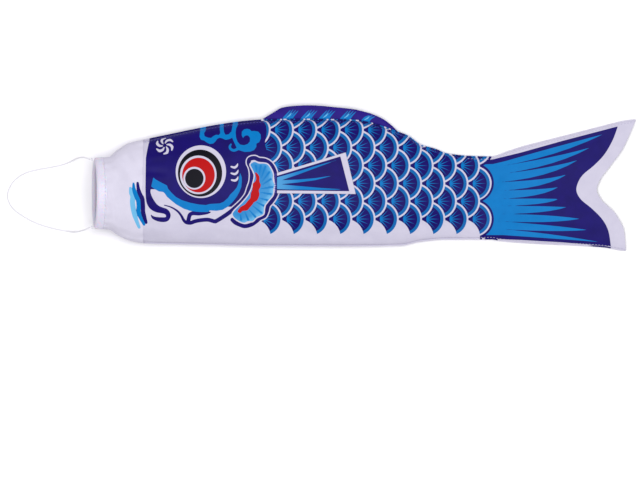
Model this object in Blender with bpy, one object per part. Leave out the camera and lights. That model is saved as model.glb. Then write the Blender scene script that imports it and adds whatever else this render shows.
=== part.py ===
"""A carp streamer lying on a table: a tube of printed cloth with a hoop in its mouth and a cord bridle.

Run it with "blender --background --python part.py". Lengths are in metres and +Z is up.
The carp lies on its right side on the plane Z = 0, with its mouth towards -X, its tail towards
+X and its back towards +Y. In every function "along" runs from the lowest point of the mouth
towards the tail, "rise" from the carp's middle line towards its back, and "height" upwards from
the table. The origin is on the table, under the centre of the carp's box.
"""

import math

import bmesh
import bpy
import numpy as np
from mathutils import Matrix, Vector

MM = 0.001

# Overall sizes
BODY_LENGTH = 700 * MM  # lowest point of the mouth to the tip of the upper tail lobe
MOUTH_WIDTH = 92 * MM
MOUTH_HEIGHT = 69 * MM  # the hoop stands on the table, a little flattened
MOUTH_MIDDLE = -20 * MM  # rise of the mouth's centre
MOUTH_LEAN = math.tan(math.radians(7.5))  # the top of the hoop leans towards the tail
COLLAR_END = 67 * MM
COLLAR_TOP = 49 * MM
COLLAR_BOTTOM = -84 * MM
CREST_ALONG = 265 * MM
CREST_RISE = 76 * MM
BELLY_ALONG = 335 * MM
BELLY_RISE = -88 * MM
WAIST_ALONG = 514 * MM  # narrowest place, in front of the tail
WAIST_TOP = 27.5 * MM
WAIST_BOTTOM = -79 * MM
UPPER_LOBE_RISE = 75 * MM
LOWER_LOBE_RISE = -93.5 * MM
LOWER_LOBE_INSET = 12.5 * MM  # how far the lower lobe stops short of the upper one
NOTCH_DEPTH = 50 * MM
COLLAR_THICKNESS = 52 * MM
WAIST_THICKNESS = 10 * MM
TAIL_THICKNESS = 7 * MM

# Cloth, seams and gaps
CLOTH = 0.9 * MM  # modelled wall, thicker than the real satin
GAP = 0.35 * MM  # between neighbouring solids
SEAM_HEIGHT = 1.6 * MM
SEAM_HALF_WIDTH = 1.2 * MM
BEND_CLEARANCE = 0.5 * MM

# Mouth
CASING_LENGTH = 12 * MM
HOOP_ROD_RADIUS = 1.5 * MM
FERRULE_WALL = 0.6 * MM
FERRULE_FIT = 0.3 * MM
FERRULE_LENGTH = 24 * MM
FERRULE_ANGLE = math.radians(250)
HOOP_END_GAP = 1.0 * MM

# Bridle
CORD_DIAMETER = 1.6 * MM
CORD_POINT_SPACING = 3 * CORD_DIAMETER
KNOT_RADIUS = 2.4 * MM

# Fins
FIN_CLOTH = 0.8 * MM
PECTORAL_ALONG = 239 * MM
PECTORAL_LENGTH = 101 * MM
PECTORAL_RAKE = 13 * MM  # the free end's upper corner stops this much sooner
PECTORAL_ROOT_TOP = 6 * MM
PECTORAL_ROOT_BOTTOM = -20 * MM
PECTORAL_END_TOP = 32.5 * MM
PECTORAL_END_BOTTOM = -21 * MM
TACK_LENGTH = 2.4 * MM
TACK_GAP = 0.8 * MM
DORSAL_CLOTH = 1.6 * MM
DORSAL_START = 221 * MM
DORSAL_END = 393 * MM
DORSAL_HEIGHT = 17.5 * MM - GAP

# Places where the cloth tube bends, and how far it lifts there
REAR_BEND_ALONG = 441 * MM
REAR_BEND_LIMIT = math.radians(45)
TAIL_BEND_ALONG = 524 * MM
TAIL_BEND_LIMIT = math.radians(60)

# Shapes between the stations above, as (share of the way along, share of the change)
COLLAR_FLARE = ((0.05, 0.0), (0.28, 0.02), (0.49, 0.43), (0.73, 0.82))
BACK_CLIMB = ((0.78, 0.96),)
BACK_FALL = (
    (0.281, 0.021),
    (0.365, 0.082),
    (0.438, 0.186),
    (0.514, 0.33),
    (0.574, 0.454),
    (0.635, 0.68),
    (0.714, 0.80),
    (0.771, 0.917),
    (0.892, 0.986),
)
BELLY_SAG = ((0.29, 0.50), (0.61, 0.90))
BELLY_CLIMB = ((0.35, 0.11), (0.486, 0.667), (0.67, 1.0))
UPPER_LOBE_EDGE = ((0.118, 0.143), (0.226, 0.278), (0.392, 0.446), (0.613, 0.663), (0.78, 0.832), (0.946, 0.98))
LOWER_LOBE_EDGE = ((0.063, 0.124), (0.127, 0.207), (0.242, 0.317), (0.42, 0.43), (0.6, 0.525), (0.836, 0.703))
# How the blown-up tube thins from the collar, 1, to the waist, 0
THINNING = ((0.10, 0.83), (0.36, 0.66), (0.57, 0.56), (0.77, 0.36), (0.88, 0.17))
# Share of the thickness that lies below the side seams, at the mouth, along the body and in the tail
SEAM_SHARES = (0.5, 0.32, 0.5)
# The lower side is flat where the curve of its section passes this share of its depth
FLAT_SHARE = 0.6
# The tail's rear edge: (place from its top edge, 1, to its bottom edge, -1; share of the notch)
REAR_EDGE = ((0.585, 0.33), (0.335, 0.65), (0.1, 0.93), (-0.04, 1.0), (-0.22, 0.88), (-0.448, 0.52), (-0.71, 0.30))
DORSAL_PROFILE = (
    (0.0, 0.05),
    (0.08, 0.51),
    (0.14, 0.83),
    (0.22, 0.94),
    (0.343, 1.0),
    (0.547, 0.875),
    (0.70, 0.745),
    (0.90, 0.63),
    (0.98, 0.40),
    (1.0, 0.10),
)
# The bridle's route in millimetres, (X, Y, Z): from the upper knot down to the table, round, and back up
BRIDLE_ROUTE = (
    (-350.9, 23.6, 34.2),
    (-356.5, 25.6, 30.0),
    (-362.5, 26.2, 21.5),
    (-368.5, 24.8, 11.5),
    (-375.0, 21.8, 4.2),
    (-384.0, 18.0, 1.0),
    (-405.5, 13.1, 0.85),
    (-421.0, 10.2, 0.85),
    (-434.9, 6.3, 0.85),
    (-446.0, -0.6, 0.85),
    (-454.5, -11.0, 0.85),
    (-458.0, -24.0, 0.85),
    (-452.8, -37.0, 0.85),
    (-438.6, -48.8, 0.85),
    (-417.7, -59.4, 0.85),
    (-399.3, -65.0, 0.85),
    (-384.0, -68.0, 1.0),
    (-375.0, -69.2, 4.2),
    (-368.5, -69.3, 11.5),
    (-362.5, -68.2, 21.5),
    (-356.5, -66.2, 30.0),
    (-350.9, -63.6, 34.2),
)

# Mesh fineness
PANEL_ROWS = 12
RING_STEPS = 48


def curve_through(knots):
    """A smooth function of one number through (place, value) pairs, with no overshoot."""
    x, y = (np.array(v, float) for v in zip(*sorted(knots)))
    slope = np.diff(y) / np.diff(x)
    same_way = slope[1:] * slope[:-1] > 0
    inner = np.where(same_way, 2 * slope[1:] * slope[:-1] / np.where(same_way, slope[1:] + slope[:-1], 1), 0)
    return hermite(x, y, np.concatenate([slope[:1], inner, slope[-1:]]))


def hermite(x, y, tangent):
    """Cubic pieces through the points (x, y) with these tangents, as a function of one number."""

    def value(at):
        i = int(np.clip(np.searchsorted(x, at) - 1, 0, len(x) - 2))
        run = x[i + 1] - x[i]
        t = min(max((at - x[i]) / run, 0.0), 1.0)
        start, end = (1 + 2 * t) * (1 - t) ** 2, t * t * (3 - 2 * t)
        lean = t * (1 - t) ** 2 * tangent[i] - t * t * (1 - t) * tangent[i + 1]
        return float(start * y[i] + end * y[i + 1] + run * lean)

    return value


def stretch(start, end, shape):
    """The knots of a shape given in shares, placed from start to end, both (along, value)."""
    (x0, y0), (x1, y1) = start, end
    return [(x0 + a * (x1 - x0), y0 + b * (y1 - y0)) for a, b in shape]


def rim_along():
    """The middle of the hoop is this far behind its lowest point, because it leans."""
    return 0.5 * MOUTH_HEIGHT * MOUTH_LEAN


def casing_end():
    return rim_along() + CASING_LENGTH


def back_knots():
    mouth = (rim_along(), MOUTH_MIDDLE + 0.5 * MOUTH_WIDTH)
    collar, crest = (COLLAR_END, COLLAR_TOP), (CREST_ALONG, CREST_RISE)
    waist, lobe = (WAIST_ALONG, WAIST_TOP), (BODY_LENGTH, UPPER_LOBE_RISE)
    return [
        mouth,
        *stretch(mouth, collar, COLLAR_FLARE),
        collar,
        *stretch(collar, crest, BACK_CLIMB),
        crest,
        *stretch(crest, waist, BACK_FALL),
        waist,
        *stretch(waist, lobe, UPPER_LOBE_EDGE),
        lobe,
    ]


def belly_knots():
    mouth = (rim_along(), MOUTH_MIDDLE - 0.5 * MOUTH_WIDTH)
    collar, lowest = (COLLAR_END, COLLAR_BOTTOM), (BELLY_ALONG, BELLY_RISE)
    waist, lobe = (WAIST_ALONG, WAIST_BOTTOM), (BODY_LENGTH - LOWER_LOBE_INSET, LOWER_LOBE_RISE)
    return [
        mouth,
        *stretch(mouth, collar, COLLAR_FLARE),
        collar,
        *stretch(collar, lowest, BELLY_SAG),
        lowest,
        *stretch(lowest, waist, BELLY_CLIMB),
        waist,
        *stretch(waist, lobe, LOWER_LOBE_EDGE),
        lobe,
        (BODY_LENGTH, LOWER_LOBE_RISE),
    ]


def thickness_knots():
    collar, waist = (COLLAR_END, COLLAR_THICKNESS), (WAIST_ALONG, WAIST_THICKNESS)
    thinning = [(a, 1 - b) for a, b in THINNING]
    tail_start = TAIL_BEND_ALONG + 0.3 * (BODY_LENGTH - TAIL_BEND_ALONG)
    return [
        (0.0, MOUTH_HEIGHT),
        (casing_end(), MOUTH_HEIGHT),
        collar,
        *stretch(collar, waist, thinning),
        waist,
        (tail_start, TAIL_THICKNESS),
        (BODY_LENGTH, TAIL_THICKNESS),
    ]


def fin_room():
    """The right pectoral fin lies under the body, which stands clear of the table there."""
    return FIN_CLOTH + 2 * GAP


back = curve_through(back_knots())
belly = curve_through(belly_knots())
thickness = curve_through(thickness_knots())
mouth_share, body_share, tail_share = SEAM_SHARES
seam_share = curve_through(
    [
        (0.0, mouth_share),
        (casing_end(), mouth_share),
        (COLLAR_END, body_share),
        (REAR_BEND_ALONG, body_share),
        (TAIL_BEND_ALONG, tail_share),
        (BODY_LENGTH, tail_share),
    ]
)
lift = curve_through(
    [
        (0.0, 0.0),
        (PECTORAL_ALONG - 5 * CASING_LENGTH, 0.0),
        (PECTORAL_ALONG - 2 * TACK_LENGTH - TACK_GAP, fin_room()),
        (PECTORAL_ALONG + PECTORAL_LENGTH + TACK_GAP, fin_room()),
        (PECTORAL_ALONG + PECTORAL_LENGTH + 3 * CASING_LENGTH, 0.0),
        (BODY_LENGTH, 0.0),
    ]
)
dorsal_share = curve_through(DORSAL_PROFILE)
notch_share = curve_through([(1.0, 0.0), *REAR_EDGE, (-1.0, LOWER_LOBE_INSET / NOTCH_DEPTH)])


def panel_top(along):
    """The side panels stop short of the outline, where the seam begins."""
    return back(along) - SEAM_HEIGHT - GAP


def panel_bottom(along):
    return belly(along) + SEAM_HEIGHT + GAP


def depth_below(along):
    return seam_share(along) * thickness(along)


def seam_level(along):
    """Height of the side seams over the table."""
    return lift(along) + depth_below(along)


def panel_height(along, bow, side):
    """Height of the left (1, upper) or right (-1, lower) panel. bow is 0 at its edges and 1 between."""
    below = depth_below(along)
    if side > 0:
        return seam_level(along) + SEAM_HALF_WIDTH + (thickness(along) - below - SEAM_HALF_WIDTH) * bow
    return seam_level(along) - SEAM_HALF_WIDTH - (below - SEAM_HALF_WIDTH) * min(1.0, bow / FLAT_SHARE)


def section(along, turn, side):
    """(rise, height) on a side panel: turn runs from 0 at the back to 1 at the belly."""
    middle = 0.5 * (panel_top(along) + panel_bottom(along))
    reach = 0.5 * (panel_top(along) - panel_bottom(along))
    return middle + reach * math.cos(math.pi * turn), panel_height(along, math.sin(math.pi * turn), side)


def flank_height(along, rise, side):
    """Height of the outside of a panel at a rise."""
    middle = 0.5 * (panel_top(along) + panel_bottom(along))
    reach = 0.5 * (panel_top(along) - panel_bottom(along))
    share = min(1.0, abs(rise - middle) / reach)
    return panel_height(along, math.sqrt(1 - share * share), side)


def place(along, rise, height):
    return Vector((along - 0.5 * BODY_LENGTH, rise, height))


def leaning(along, rise, height):
    """A place in the mouth's part of the tube, where cross-sections lean with the hoop."""
    fade = min(max((along - casing_end()) / (COLLAR_END - casing_end()), 0.0), 1.0)
    upright = fade * fade * (3 - 2 * fade)
    return place(along + MOUTH_LEAN * (height - 0.5 * MOUTH_HEIGHT) * (1 - upright), rise, height)


def material(name, colour, roughness, metallic=0.0):
    made = bpy.data.materials.new(name)
    made.use_nodes = True
    shader = made.node_tree.nodes["Principled BSDF"]
    shader.inputs["Base Color"].default_value = (*colour, 1.0)
    shader.inputs["Roughness"].default_value = roughness
    shader.inputs["Metallic"].default_value = metallic
    made.diffuse_color = (*colour, 1.0)
    return made


def link(name, data, look, joint_at=None):
    """Puts an object in the scene. A moving piece has its origin at joint_at, on its joint's axis."""
    obj = bpy.data.objects.new(name, data)
    bpy.context.scene.collection.objects.link(obj)
    data.materials.append(look)
    if joint_at is not None:
        data.transform(Matrix.Translation(-joint_at))
        obj.location = joint_at
    return obj


def sheet(name, grid, look, wall=CLOTH, grow=-1.0, closed=False, flip=False, joint_at=None):
    """A grid of points, rows of equal length, as a sheet that Solidify gives its wall."""
    rows, columns = len(grid), len(grid[0])
    points = [tuple(p) for row in grid for p in row]
    faces = []
    for i in range(rows if closed else rows - 1):
        for j in range(columns - 1):
            a, b = i * columns + j, (i + 1) % rows * columns + j
            faces.append((a, a + 1, b + 1, b) if flip else (a, b, b + 1, a + 1))
    mesh = bpy.data.meshes.new(name)
    mesh.from_pydata(points, [], faces)
    obj = link(name, mesh, look, joint_at)
    solidify = obj.modifiers.new("Wall", "SOLIDIFY")
    solidify.thickness = wall
    solidify.offset = grow
    return obj


def panel(name, side, start, end, columns, look, joint_at=None):
    """A side panel of the tube. start and end give where it begins and ends at each turn."""
    grid = []
    for i in range(PANEL_ROWS + 1):
        turn = i / PANEL_ROWS
        row = []
        for j in range(columns + 1):
            along = start(turn) + (end(turn) - start(turn)) * j / columns
            row.append(place(along, *section(along, turn, side)))
        grid.append(row)
    return sheet(name, grid, look, flip=side < 0, joint_at=joint_at)


def bend_edge(along, limit, direction, side):
    """Where a panel stops at a bend, so that the two sides clear each other when the rear one lifts."""

    def edge(turn):
        _, height = section(along, turn, side)
        above = max(0.0, height - seam_level(along))
        return along + direction * (above * math.tan(0.5 * limit) + BEND_CLEARANCE)

    return edge


def seam_stop(limit):
    """Half the gap that a seam leaves at a bend."""
    return SEAM_HALF_WIDTH * math.tan(0.5 * limit) + BEND_CLEARANCE


def bend_axis(along):
    """A point on a bend's hinge line, which runs across the carp at the height of its side seams."""
    return place(along, 0.5 * (back(along) + belly(along)), seam_level(along))


def seam(name, base, direction, start, end, columns, look, joint_at=None):
    """The sewn ridge that joins the two side panels along base and stands away from the tube."""
    grid = []
    for i in range(2):
        row = []
        for j in range(columns + 1):
            along = start + (end - start) * j / columns
            row.append(place(along, base(along) + direction * (GAP + i * SEAM_HEIGHT), seam_level(along)))
        grid.append(row)
    return sheet(name, grid, look, wall=2 * SEAM_HALF_WIDTH, grow=0.0, joint_at=joint_at)


def rear_edge(turn):
    return BODY_LENGTH - NOTCH_DEPTH * notch_share(math.cos(math.pi * turn))


def build_tube(looks):
    """The printed side panels and the seams that join them, in the three lengths that the bends leave."""
    front = COLLAR_END + GAP
    rear_axis, tail_axis = bend_axis(REAR_BEND_ALONG), bend_axis(TAIL_BEND_ALONG)
    for word, side in (("left", 1), ("right", -1)):
        before_rear = bend_edge(REAR_BEND_ALONG, REAR_BEND_LIMIT, -1, side)
        after_rear = bend_edge(REAR_BEND_ALONG, REAR_BEND_LIMIT, 1, side)
        before_tail = bend_edge(TAIL_BEND_ALONG, TAIL_BEND_LIMIT, -1, side)
        after_tail = bend_edge(TAIL_BEND_ALONG, TAIL_BEND_LIMIT, 1, side)
        panel(f"{word}_flank_panel", side, lambda turn: front, before_rear, 26, looks["print"])
        panel(f"{word}_rear_panel", side, after_rear, before_tail, 8, looks["print"], rear_axis)
        panel(f"{word}_tail_panel", side, after_tail, rear_edge, 12, looks["print"], tail_axis)
    rear_gap, tail_gap = seam_stop(REAR_BEND_LIMIT), seam_stop(TAIL_BEND_LIMIT)
    runs = (
        ("flank", front, REAR_BEND_ALONG - rear_gap, REAR_BEND_ALONG - rear_gap, 26, None),
        ("rear", REAR_BEND_ALONG + rear_gap, TAIL_BEND_ALONG - tail_gap, TAIL_BEND_ALONG - tail_gap, 8, rear_axis),
        ("tail", TAIL_BEND_ALONG + tail_gap, BODY_LENGTH, BODY_LENGTH - LOWER_LOBE_INSET, 10, tail_axis),
    )
    for word, start, back_end, belly_end, columns, axis in runs:
        seam(f"{word}_back_seam", panel_top, 1, start, back_end, columns, looks["thread"], axis)
        seam(f"{word}_belly_seam", panel_bottom, -1, start, belly_end, columns, looks["thread"], axis)


def build_collar(look):
    """The white collar: a closed sleeve from the hoop's casing to the printed panels."""
    start, end, columns = casing_end() + GAP, COLLAR_END, 8
    grid = []
    for i in range(RING_STEPS):
        angle = 2 * math.pi * i / RING_STEPS
        row = []
        for j in range(columns + 1):
            share = j / columns
            along = start + (end - start) * share
            middle, reach = 0.5 * (back(along) + belly(along)), 0.5 * (back(along) - belly(along))
            below, bow = depth_below(along), math.sin(angle)
            flat = 1 + (FLAT_SHARE - 1) * share
            rounded = (thickness(along) - below) * bow if bow > 0 else below * max(-1.0, bow / flat)
            row.append(leaning(along, middle + reach * math.cos(angle), below + rounded))
        grid.append(row)
    return sheet("mouth_collar", grid, look, closed=True)


def on_hoop(angle, inset, along):
    """A point on the hoop's ellipse, inset from the outside of the mouth. Angle 0 is towards the back."""
    rise = MOUTH_MIDDLE + (0.5 * MOUTH_WIDTH - inset) * math.cos(angle)
    height = 0.5 * MOUTH_HEIGHT + (0.5 * MOUTH_HEIGHT - inset) * math.sin(angle)
    return leaning(rim_along() + along, rise, height)


def casing_room():
    """Clear height inside the hoop's casing: the ferrule is the thickest thing in it."""
    return 2 * (HOOP_ROD_RADIUS + FERRULE_FIT + FERRULE_WALL + GAP)


def rod_line(angle):
    """A point of the hoop's own line, in the middle of its casing's front end."""
    return on_hoop(angle, CLOTH + 0.5 * casing_room(), CLOTH + 0.5 * casing_room())


def build_casing(look):
    """The hem that holds the hoop: its cloth runs out over the hoop, round its front and back inside."""
    inner = 2 * CLOTH + casing_room()
    profile = (
        (CASING_LENGTH, 0.0),
        (0.0, 0.0),
        (0.0, inner),
        (CASING_LENGTH, inner),
        (CASING_LENGTH, inner - CLOTH),
        (CLOTH, inner - CLOTH),
        (CLOTH, CLOTH),
        (CASING_LENGTH, CLOTH),
    )
    shape = bmesh.new()
    rings = []
    for i in range(RING_STEPS):
        angle = 2 * math.pi * i / RING_STEPS
        rings.append([shape.verts.new(on_hoop(angle, inset, along)) for along, inset in profile])
    for ring, following in zip(rings, rings[1:] + rings[:1]):
        for k in range(len(profile)):
            nxt = (k + 1) % len(profile)
            shape.faces.new((ring[k], ring[nxt], following[nxt], following[k]))
    bmesh.ops.recalc_face_normals(shape, faces=shape.faces)
    mesh = bpy.data.meshes.new("hoop_casing")
    shape.to_mesh(mesh)
    shape.free()
    return link("hoop_casing", mesh, look)


def rod(name, points, radius, look, joint_at=None):
    """A round rod or cord with closed ends along a line of points."""
    data = bpy.data.curves.new(name, "CURVE")
    data.dimensions = "3D"
    data.bevel_depth = radius
    data.bevel_resolution = 2
    data.use_fill_caps = True
    spline = data.splines.new("POLY")
    spline.points.add(len(points) - 1)
    for point, at in zip(spline.points, points):
        point.co = (*at, 1.0)
    return link(name, data, look, joint_at)


def build_hoop(plastic, metal):
    """The springy rod that holds the mouth open, and the sleeve that its two ends meet in."""
    radius = 0.5 * MOUTH_WIDTH - CLOTH - 0.5 * casing_room()
    half_gap = 0.5 * HOOP_END_GAP / radius
    turns = np.linspace(FERRULE_ANGLE + half_gap, FERRULE_ANGLE + 2 * math.pi - half_gap, 2 * RING_STEPS)
    rod("mouth_hoop", [rod_line(a) for a in turns], HOOP_ROD_RADIUS, plastic)

    steps, around = 8, 12
    half_turn = 0.5 * FERRULE_LENGTH / radius
    outside = HOOP_ROD_RADIUS + FERRULE_FIT + FERRULE_WALL
    forward = Vector((1, 0, MOUTH_LEAN)).normalized()
    grid = []
    for i in range(around):
        turn = 2 * math.pi * i / around
        row = []
        for angle in np.linspace(FERRULE_ANGLE - half_turn, FERRULE_ANGLE + half_turn, steps):
            run = rod_line(angle + 0.01) - rod_line(angle - 0.01)
            outward = run.cross(forward).normalized()
            across = outward.cross(run).normalized()
            row.append(rod_line(angle) + outside * (math.cos(turn) * outward + math.sin(turn) * across))
        grid.append(row)
    sheet("hoop_ferrule", grid, metal, wall=FERRULE_WALL, closed=True, flip=True)


def bridle_line():
    """The bridle's whole line, from the upper knot round to the lower one, at an even spacing."""
    route = [np.array(p) * MM for p in BRIDLE_ROUTE]
    length = np.concatenate([[0], np.cumsum([math.dist(a, b) for a, b in zip(route, route[1:])])])
    ways = []
    for axis in range(2):
        values = np.array([p[axis] for p in route])
        ways.append(hermite(length, values, np.gradient(values, length)))
    ways.append(curve_through(zip(length, [p[2] for p in route])))
    count = round(length[-1] / CORD_POINT_SPACING)
    return [Vector([way(at) for way in ways]) for at in np.linspace(0, length[-1], count)]


def knot_centre(side):
    """A knot sits in front of the casing, at the back's (1) or the belly's (-1) end of the hoop."""
    rise = MOUTH_MIDDLE + side * (0.5 * MOUTH_WIDTH - KNOT_RADIUS)
    return place(rim_along() - GAP - KNOT_RADIUS, rise, 0.5 * MOUTH_HEIGHT)


def build_bridle(look):
    """The cord loop, and the knots that tie its ends to the two ends of the hoop's long axis."""
    axis = 0.5 * (knot_centre(1) + knot_centre(-1))
    rod("bridle_cord", bridle_line(), 0.5 * CORD_DIAMETER, look, axis)
    for name, side in (("upper_bridle_knot", 1), ("lower_bridle_knot", -1)):
        shape = bmesh.new()
        bmesh.ops.create_icosphere(shape, subdivisions=2, radius=KNOT_RADIUS)
        mesh = bpy.data.meshes.new(name)
        shape.to_mesh(mesh)
        shape.free()
        knot = link(name, mesh, look)
        knot.location = knot_centre(side)


def build_dorsal_fin(look):
    """The doubled strip that stands on the back seam."""
    columns = 24
    foot, edge = [], []
    for j in range(columns + 1):
        share = j / columns
        along = DORSAL_START + (DORSAL_END - DORSAL_START) * share
        low = back(along) + GAP
        foot.append(place(along, low, seam_level(along)))
        edge.append(place(along, low + DORSAL_HEIGHT * dorsal_share(share), seam_level(along)))
    sheet("dorsal_fin", [foot, edge], look, wall=DORSAL_CLOTH, grow=0.0)


def pectoral_root(side):
    """The middle of a pectoral fin's front edge, on its hinge line."""
    rise = 0.5 * (PECTORAL_ROOT_TOP + PECTORAL_ROOT_BOTTOM)
    height = flank_height(PECTORAL_ALONG, rise, side) + side * (GAP + 0.5 * FIN_CLOTH)
    return place(PECTORAL_ALONG, rise, height)


def build_pectoral_fin(word, side, fin_look, thread_look):
    """A free flap that lies along the flank, and the row of stitches that sews its front edge down."""

    def outside(along, rise):
        return place(along, rise, flank_height(along, rise, side) + side * GAP)

    rows, columns = 6, 10
    grid = []
    for i in range(rows + 1):
        down = i / rows
        length = PECTORAL_LENGTH - PECTORAL_RAKE * (1 - down)
        row = []
        for j in range(columns + 1):
            out = j / columns
            top = PECTORAL_ROOT_TOP + out * (PECTORAL_END_TOP - PECTORAL_ROOT_TOP)
            bottom = PECTORAL_ROOT_BOTTOM + out * (PECTORAL_END_BOTTOM - PECTORAL_ROOT_BOTTOM)
            row.append(outside(PECTORAL_ALONG + out * length, top + down * (bottom - top)))
        grid.append(row)
    flip = side < 0
    sheet(f"{word}_pectoral_fin", grid, fin_look, FIN_CLOTH, 1.0, flip=flip, joint_at=pectoral_root(side))

    tack = []
    for i in range(rows + 1):
        rise = PECTORAL_ROOT_TOP + (PECTORAL_ROOT_BOTTOM - PECTORAL_ROOT_TOP) * i / rows
        ends = (PECTORAL_ALONG - TACK_GAP - TACK_LENGTH, PECTORAL_ALONG - TACK_GAP)
        tack.append([outside(along, rise) for along in ends])
    sheet(f"{word}_fin_stitching", tack, thread_look, FIN_CLOTH, 1.0, flip=flip)


def main():
    for obj in list(bpy.data.objects):
        bpy.data.objects.remove(obj, do_unlink=True)
    looks = {
        "print": material("printed_satin", (0.03, 0.06, 0.45), 0.45),
        "fin": material("fin_satin", (0.02, 0.02, 0.22), 0.45),
        "white": material("white_satin", (0.85, 0.83, 0.92), 0.5),
        "thread": material("sewing_thread", (0.08, 0.08, 0.35), 0.7),
        "plastic": material("hoop_plastic", (0.9, 0.9, 0.92), 0.35),
        "metal": material("ferrule_metal", (0.72, 0.73, 0.75), 0.3, 1.0),
        "cord": material("bridle_cord", (0.93, 0.93, 0.94), 0.7),
    }
    build_bridle(looks["cord"])
    build_casing(looks["white"])
    build_hoop(looks["plastic"], looks["metal"])
    build_collar(looks["white"])
    build_tube(looks)
    build_dorsal_fin(looks["fin"])
    build_pectoral_fin("left", 1, looks["fin"], looks["thread"])
    build_pectoral_fin("right", -1, looks["fin"], looks["thread"])


main()
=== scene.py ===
"""The looks of a cloth carp streamer that lies on its right side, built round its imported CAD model.

Lengths are in metres in the frame's own coordinates: mouth towards -X, back towards +Y, up +Z.
"along" runs from the lowest point of the mouth towards the tail. "turn" runs across a printed side,
from 0 at the back seam to 1 at the belly seam. The print is drawn in millimetres: x along the carp
and y from its middle line towards its back, both as they show from straight above.
"""

from __future__ import annotations

import logging
import math
from collections.abc import Sequence
from dataclasses import dataclass, field
from enum import Enum

import bpy
import numpy as np
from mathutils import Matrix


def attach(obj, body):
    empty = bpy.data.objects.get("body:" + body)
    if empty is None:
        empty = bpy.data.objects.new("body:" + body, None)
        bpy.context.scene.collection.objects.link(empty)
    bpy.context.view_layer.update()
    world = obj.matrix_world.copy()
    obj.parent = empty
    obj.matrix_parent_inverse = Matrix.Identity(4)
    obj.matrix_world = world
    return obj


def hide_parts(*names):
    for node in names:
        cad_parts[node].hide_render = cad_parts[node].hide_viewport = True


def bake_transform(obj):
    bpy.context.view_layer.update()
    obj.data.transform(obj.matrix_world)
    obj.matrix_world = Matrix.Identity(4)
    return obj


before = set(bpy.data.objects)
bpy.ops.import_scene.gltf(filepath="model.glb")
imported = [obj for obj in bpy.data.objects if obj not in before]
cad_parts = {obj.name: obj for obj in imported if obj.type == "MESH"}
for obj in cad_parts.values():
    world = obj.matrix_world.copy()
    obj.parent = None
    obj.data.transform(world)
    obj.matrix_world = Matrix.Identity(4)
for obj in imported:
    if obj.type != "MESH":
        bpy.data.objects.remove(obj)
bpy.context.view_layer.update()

MM = 0.001
LOG = logging.getLogger("carp_streamer")
FAR = 6.0  # a print field runs to this many millimetres from an edge, and stays there
WAVE_TURN = 0.314  # a wave texture of scale WAVE_TURN / d repeats about every d metres
STITCH_RINGS, STITCH_AROUND = 5, 6
Array = np.ndarray
Line = Sequence[tuple[float, float]]


class Side(Enum):
    """Which side of the carp a piece is on: the left one faces up, the right one lies on the table."""

    LEFT = 1
    RIGHT = -1


class Ink(Enum):
    """What is printed at a place. Where none of these is, the cloth is printed navy."""

    WHITE = "ink_white"
    SKY = "ink_sky"
    PALE = "ink_pale"
    RED = "ink_red"
    BLACK = "ink_black"
    SCALES = "ink_scales"


# ---------------------------------------------------------------- curves and meshes


def cubic(x: Array, y: Array, slope: Array, at: Array) -> Array:
    """Cubic pieces through knots.

    Args:
        x: the knots' places.
        y: their values.
        slope: their slopes.
        at: the places between them that are wanted, any shape.

    Returns:
        (1+2t)(1-t)² y0 + t²(3-2t) y1 + run (t(1-t)² s0 - t²(1-t) s1), t being the share of the way between knots.
    """
    i = np.clip(np.searchsorted(x, at) - 1, 0, len(x) - 2)
    run = x[i + 1] - x[i]
    t = (at - x[i]) / run
    ends = (1 + 2 * t) * (1 - t) ** 2 * y[i] + t * t * (3 - 2 * t) * y[i + 1]
    return ends + run * (t * (1 - t) ** 2 * slope[i] - t * t * (1 - t) * slope[i + 1])


class SmoothCurve:
    """Cubic pieces through knots. Each inner slope is the harmonic mean of its neighbours', or 0 at a turning point."""

    def __init__(self, knots: Sequence[tuple[float, float]]) -> None:
        """Sorts the knots and works out a slope at each.

        Args:
            knots: pairs of place and value.
        """
        self.x, self.y = (np.array(v, float) for v in zip(*sorted(knots)))
        slope = np.diff(self.y) / np.diff(self.x)
        same = slope[1:] * slope[:-1] > 0
        inner = np.where(same, 2 * slope[1:] * slope[:-1] / np.where(same, slope[1:] + slope[:-1], 1), 0)
        self.slope = np.concatenate([slope[:1], inner, slope[-1:]])

    def __call__(self, at: Array | float) -> Array:
        """The curve's values.

        Args:
            at: places, any shape.

        Returns:
            The values there, and the first or last one outside the knots.
        """
        return cubic(self.x, self.y, self.slope, np.clip(np.asarray(at, float), self.x[0], self.x[-1]))


def between(start: tuple[float, float], end: tuple[float, float], shares: Line) -> list[tuple[float, float]]:
    """Knots given as shares of the way and of the change from start to end.

    Args:
        start: first place and value.
        end: last place and value.
        shares: pairs of shares.

    Returns:
        The knots in metres.
    """
    return [(start[0] + a * (end[0] - start[0]), start[1] + b * (end[1] - start[1])) for a, b in shares]


def smooth_step(at: Array, low: float, high: float) -> Array:
    """3t² - 2t³ of the share t of the way from low to high."""
    t = np.clip((at - low) / (high - low), 0, 1)
    return t * t * (3 - 2 * t)


def rounded(points: Line, closed: bool = False, pieces: int = 5) -> Array:
    """A Catmull-Rom curve through points.

    Args:
        points: the points, in order.
        closed: whether the last joins the first.
        pieces: straight pieces between neighbours.

    Returns:
        0.5 (2b + (c-a)t + (2a-5b+4c-d)t² + (3b-a-3c+d)t³) for each run of four neighbours a, b, c, d.
    """
    p = np.array(points, float)
    p = np.concatenate([p[-1:], p, p[:2]]) if closed else np.concatenate([p[:1], p, p[-1:]])
    a, b, c, d = (p[i : len(p) - 3 + i, None] for i in range(4))
    t = (np.arange(pieces) / pieces)[None, :, None]
    line = 0.5 * (2 * b + (c - a) * t + (2 * a - 5 * b + 4 * c - d) * t**2 + (3 * b - a - 3 * c + d) * t**3)
    line = line.reshape(-1, p.shape[1])
    return line if closed else np.concatenate([line, p[-1:]])


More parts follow.
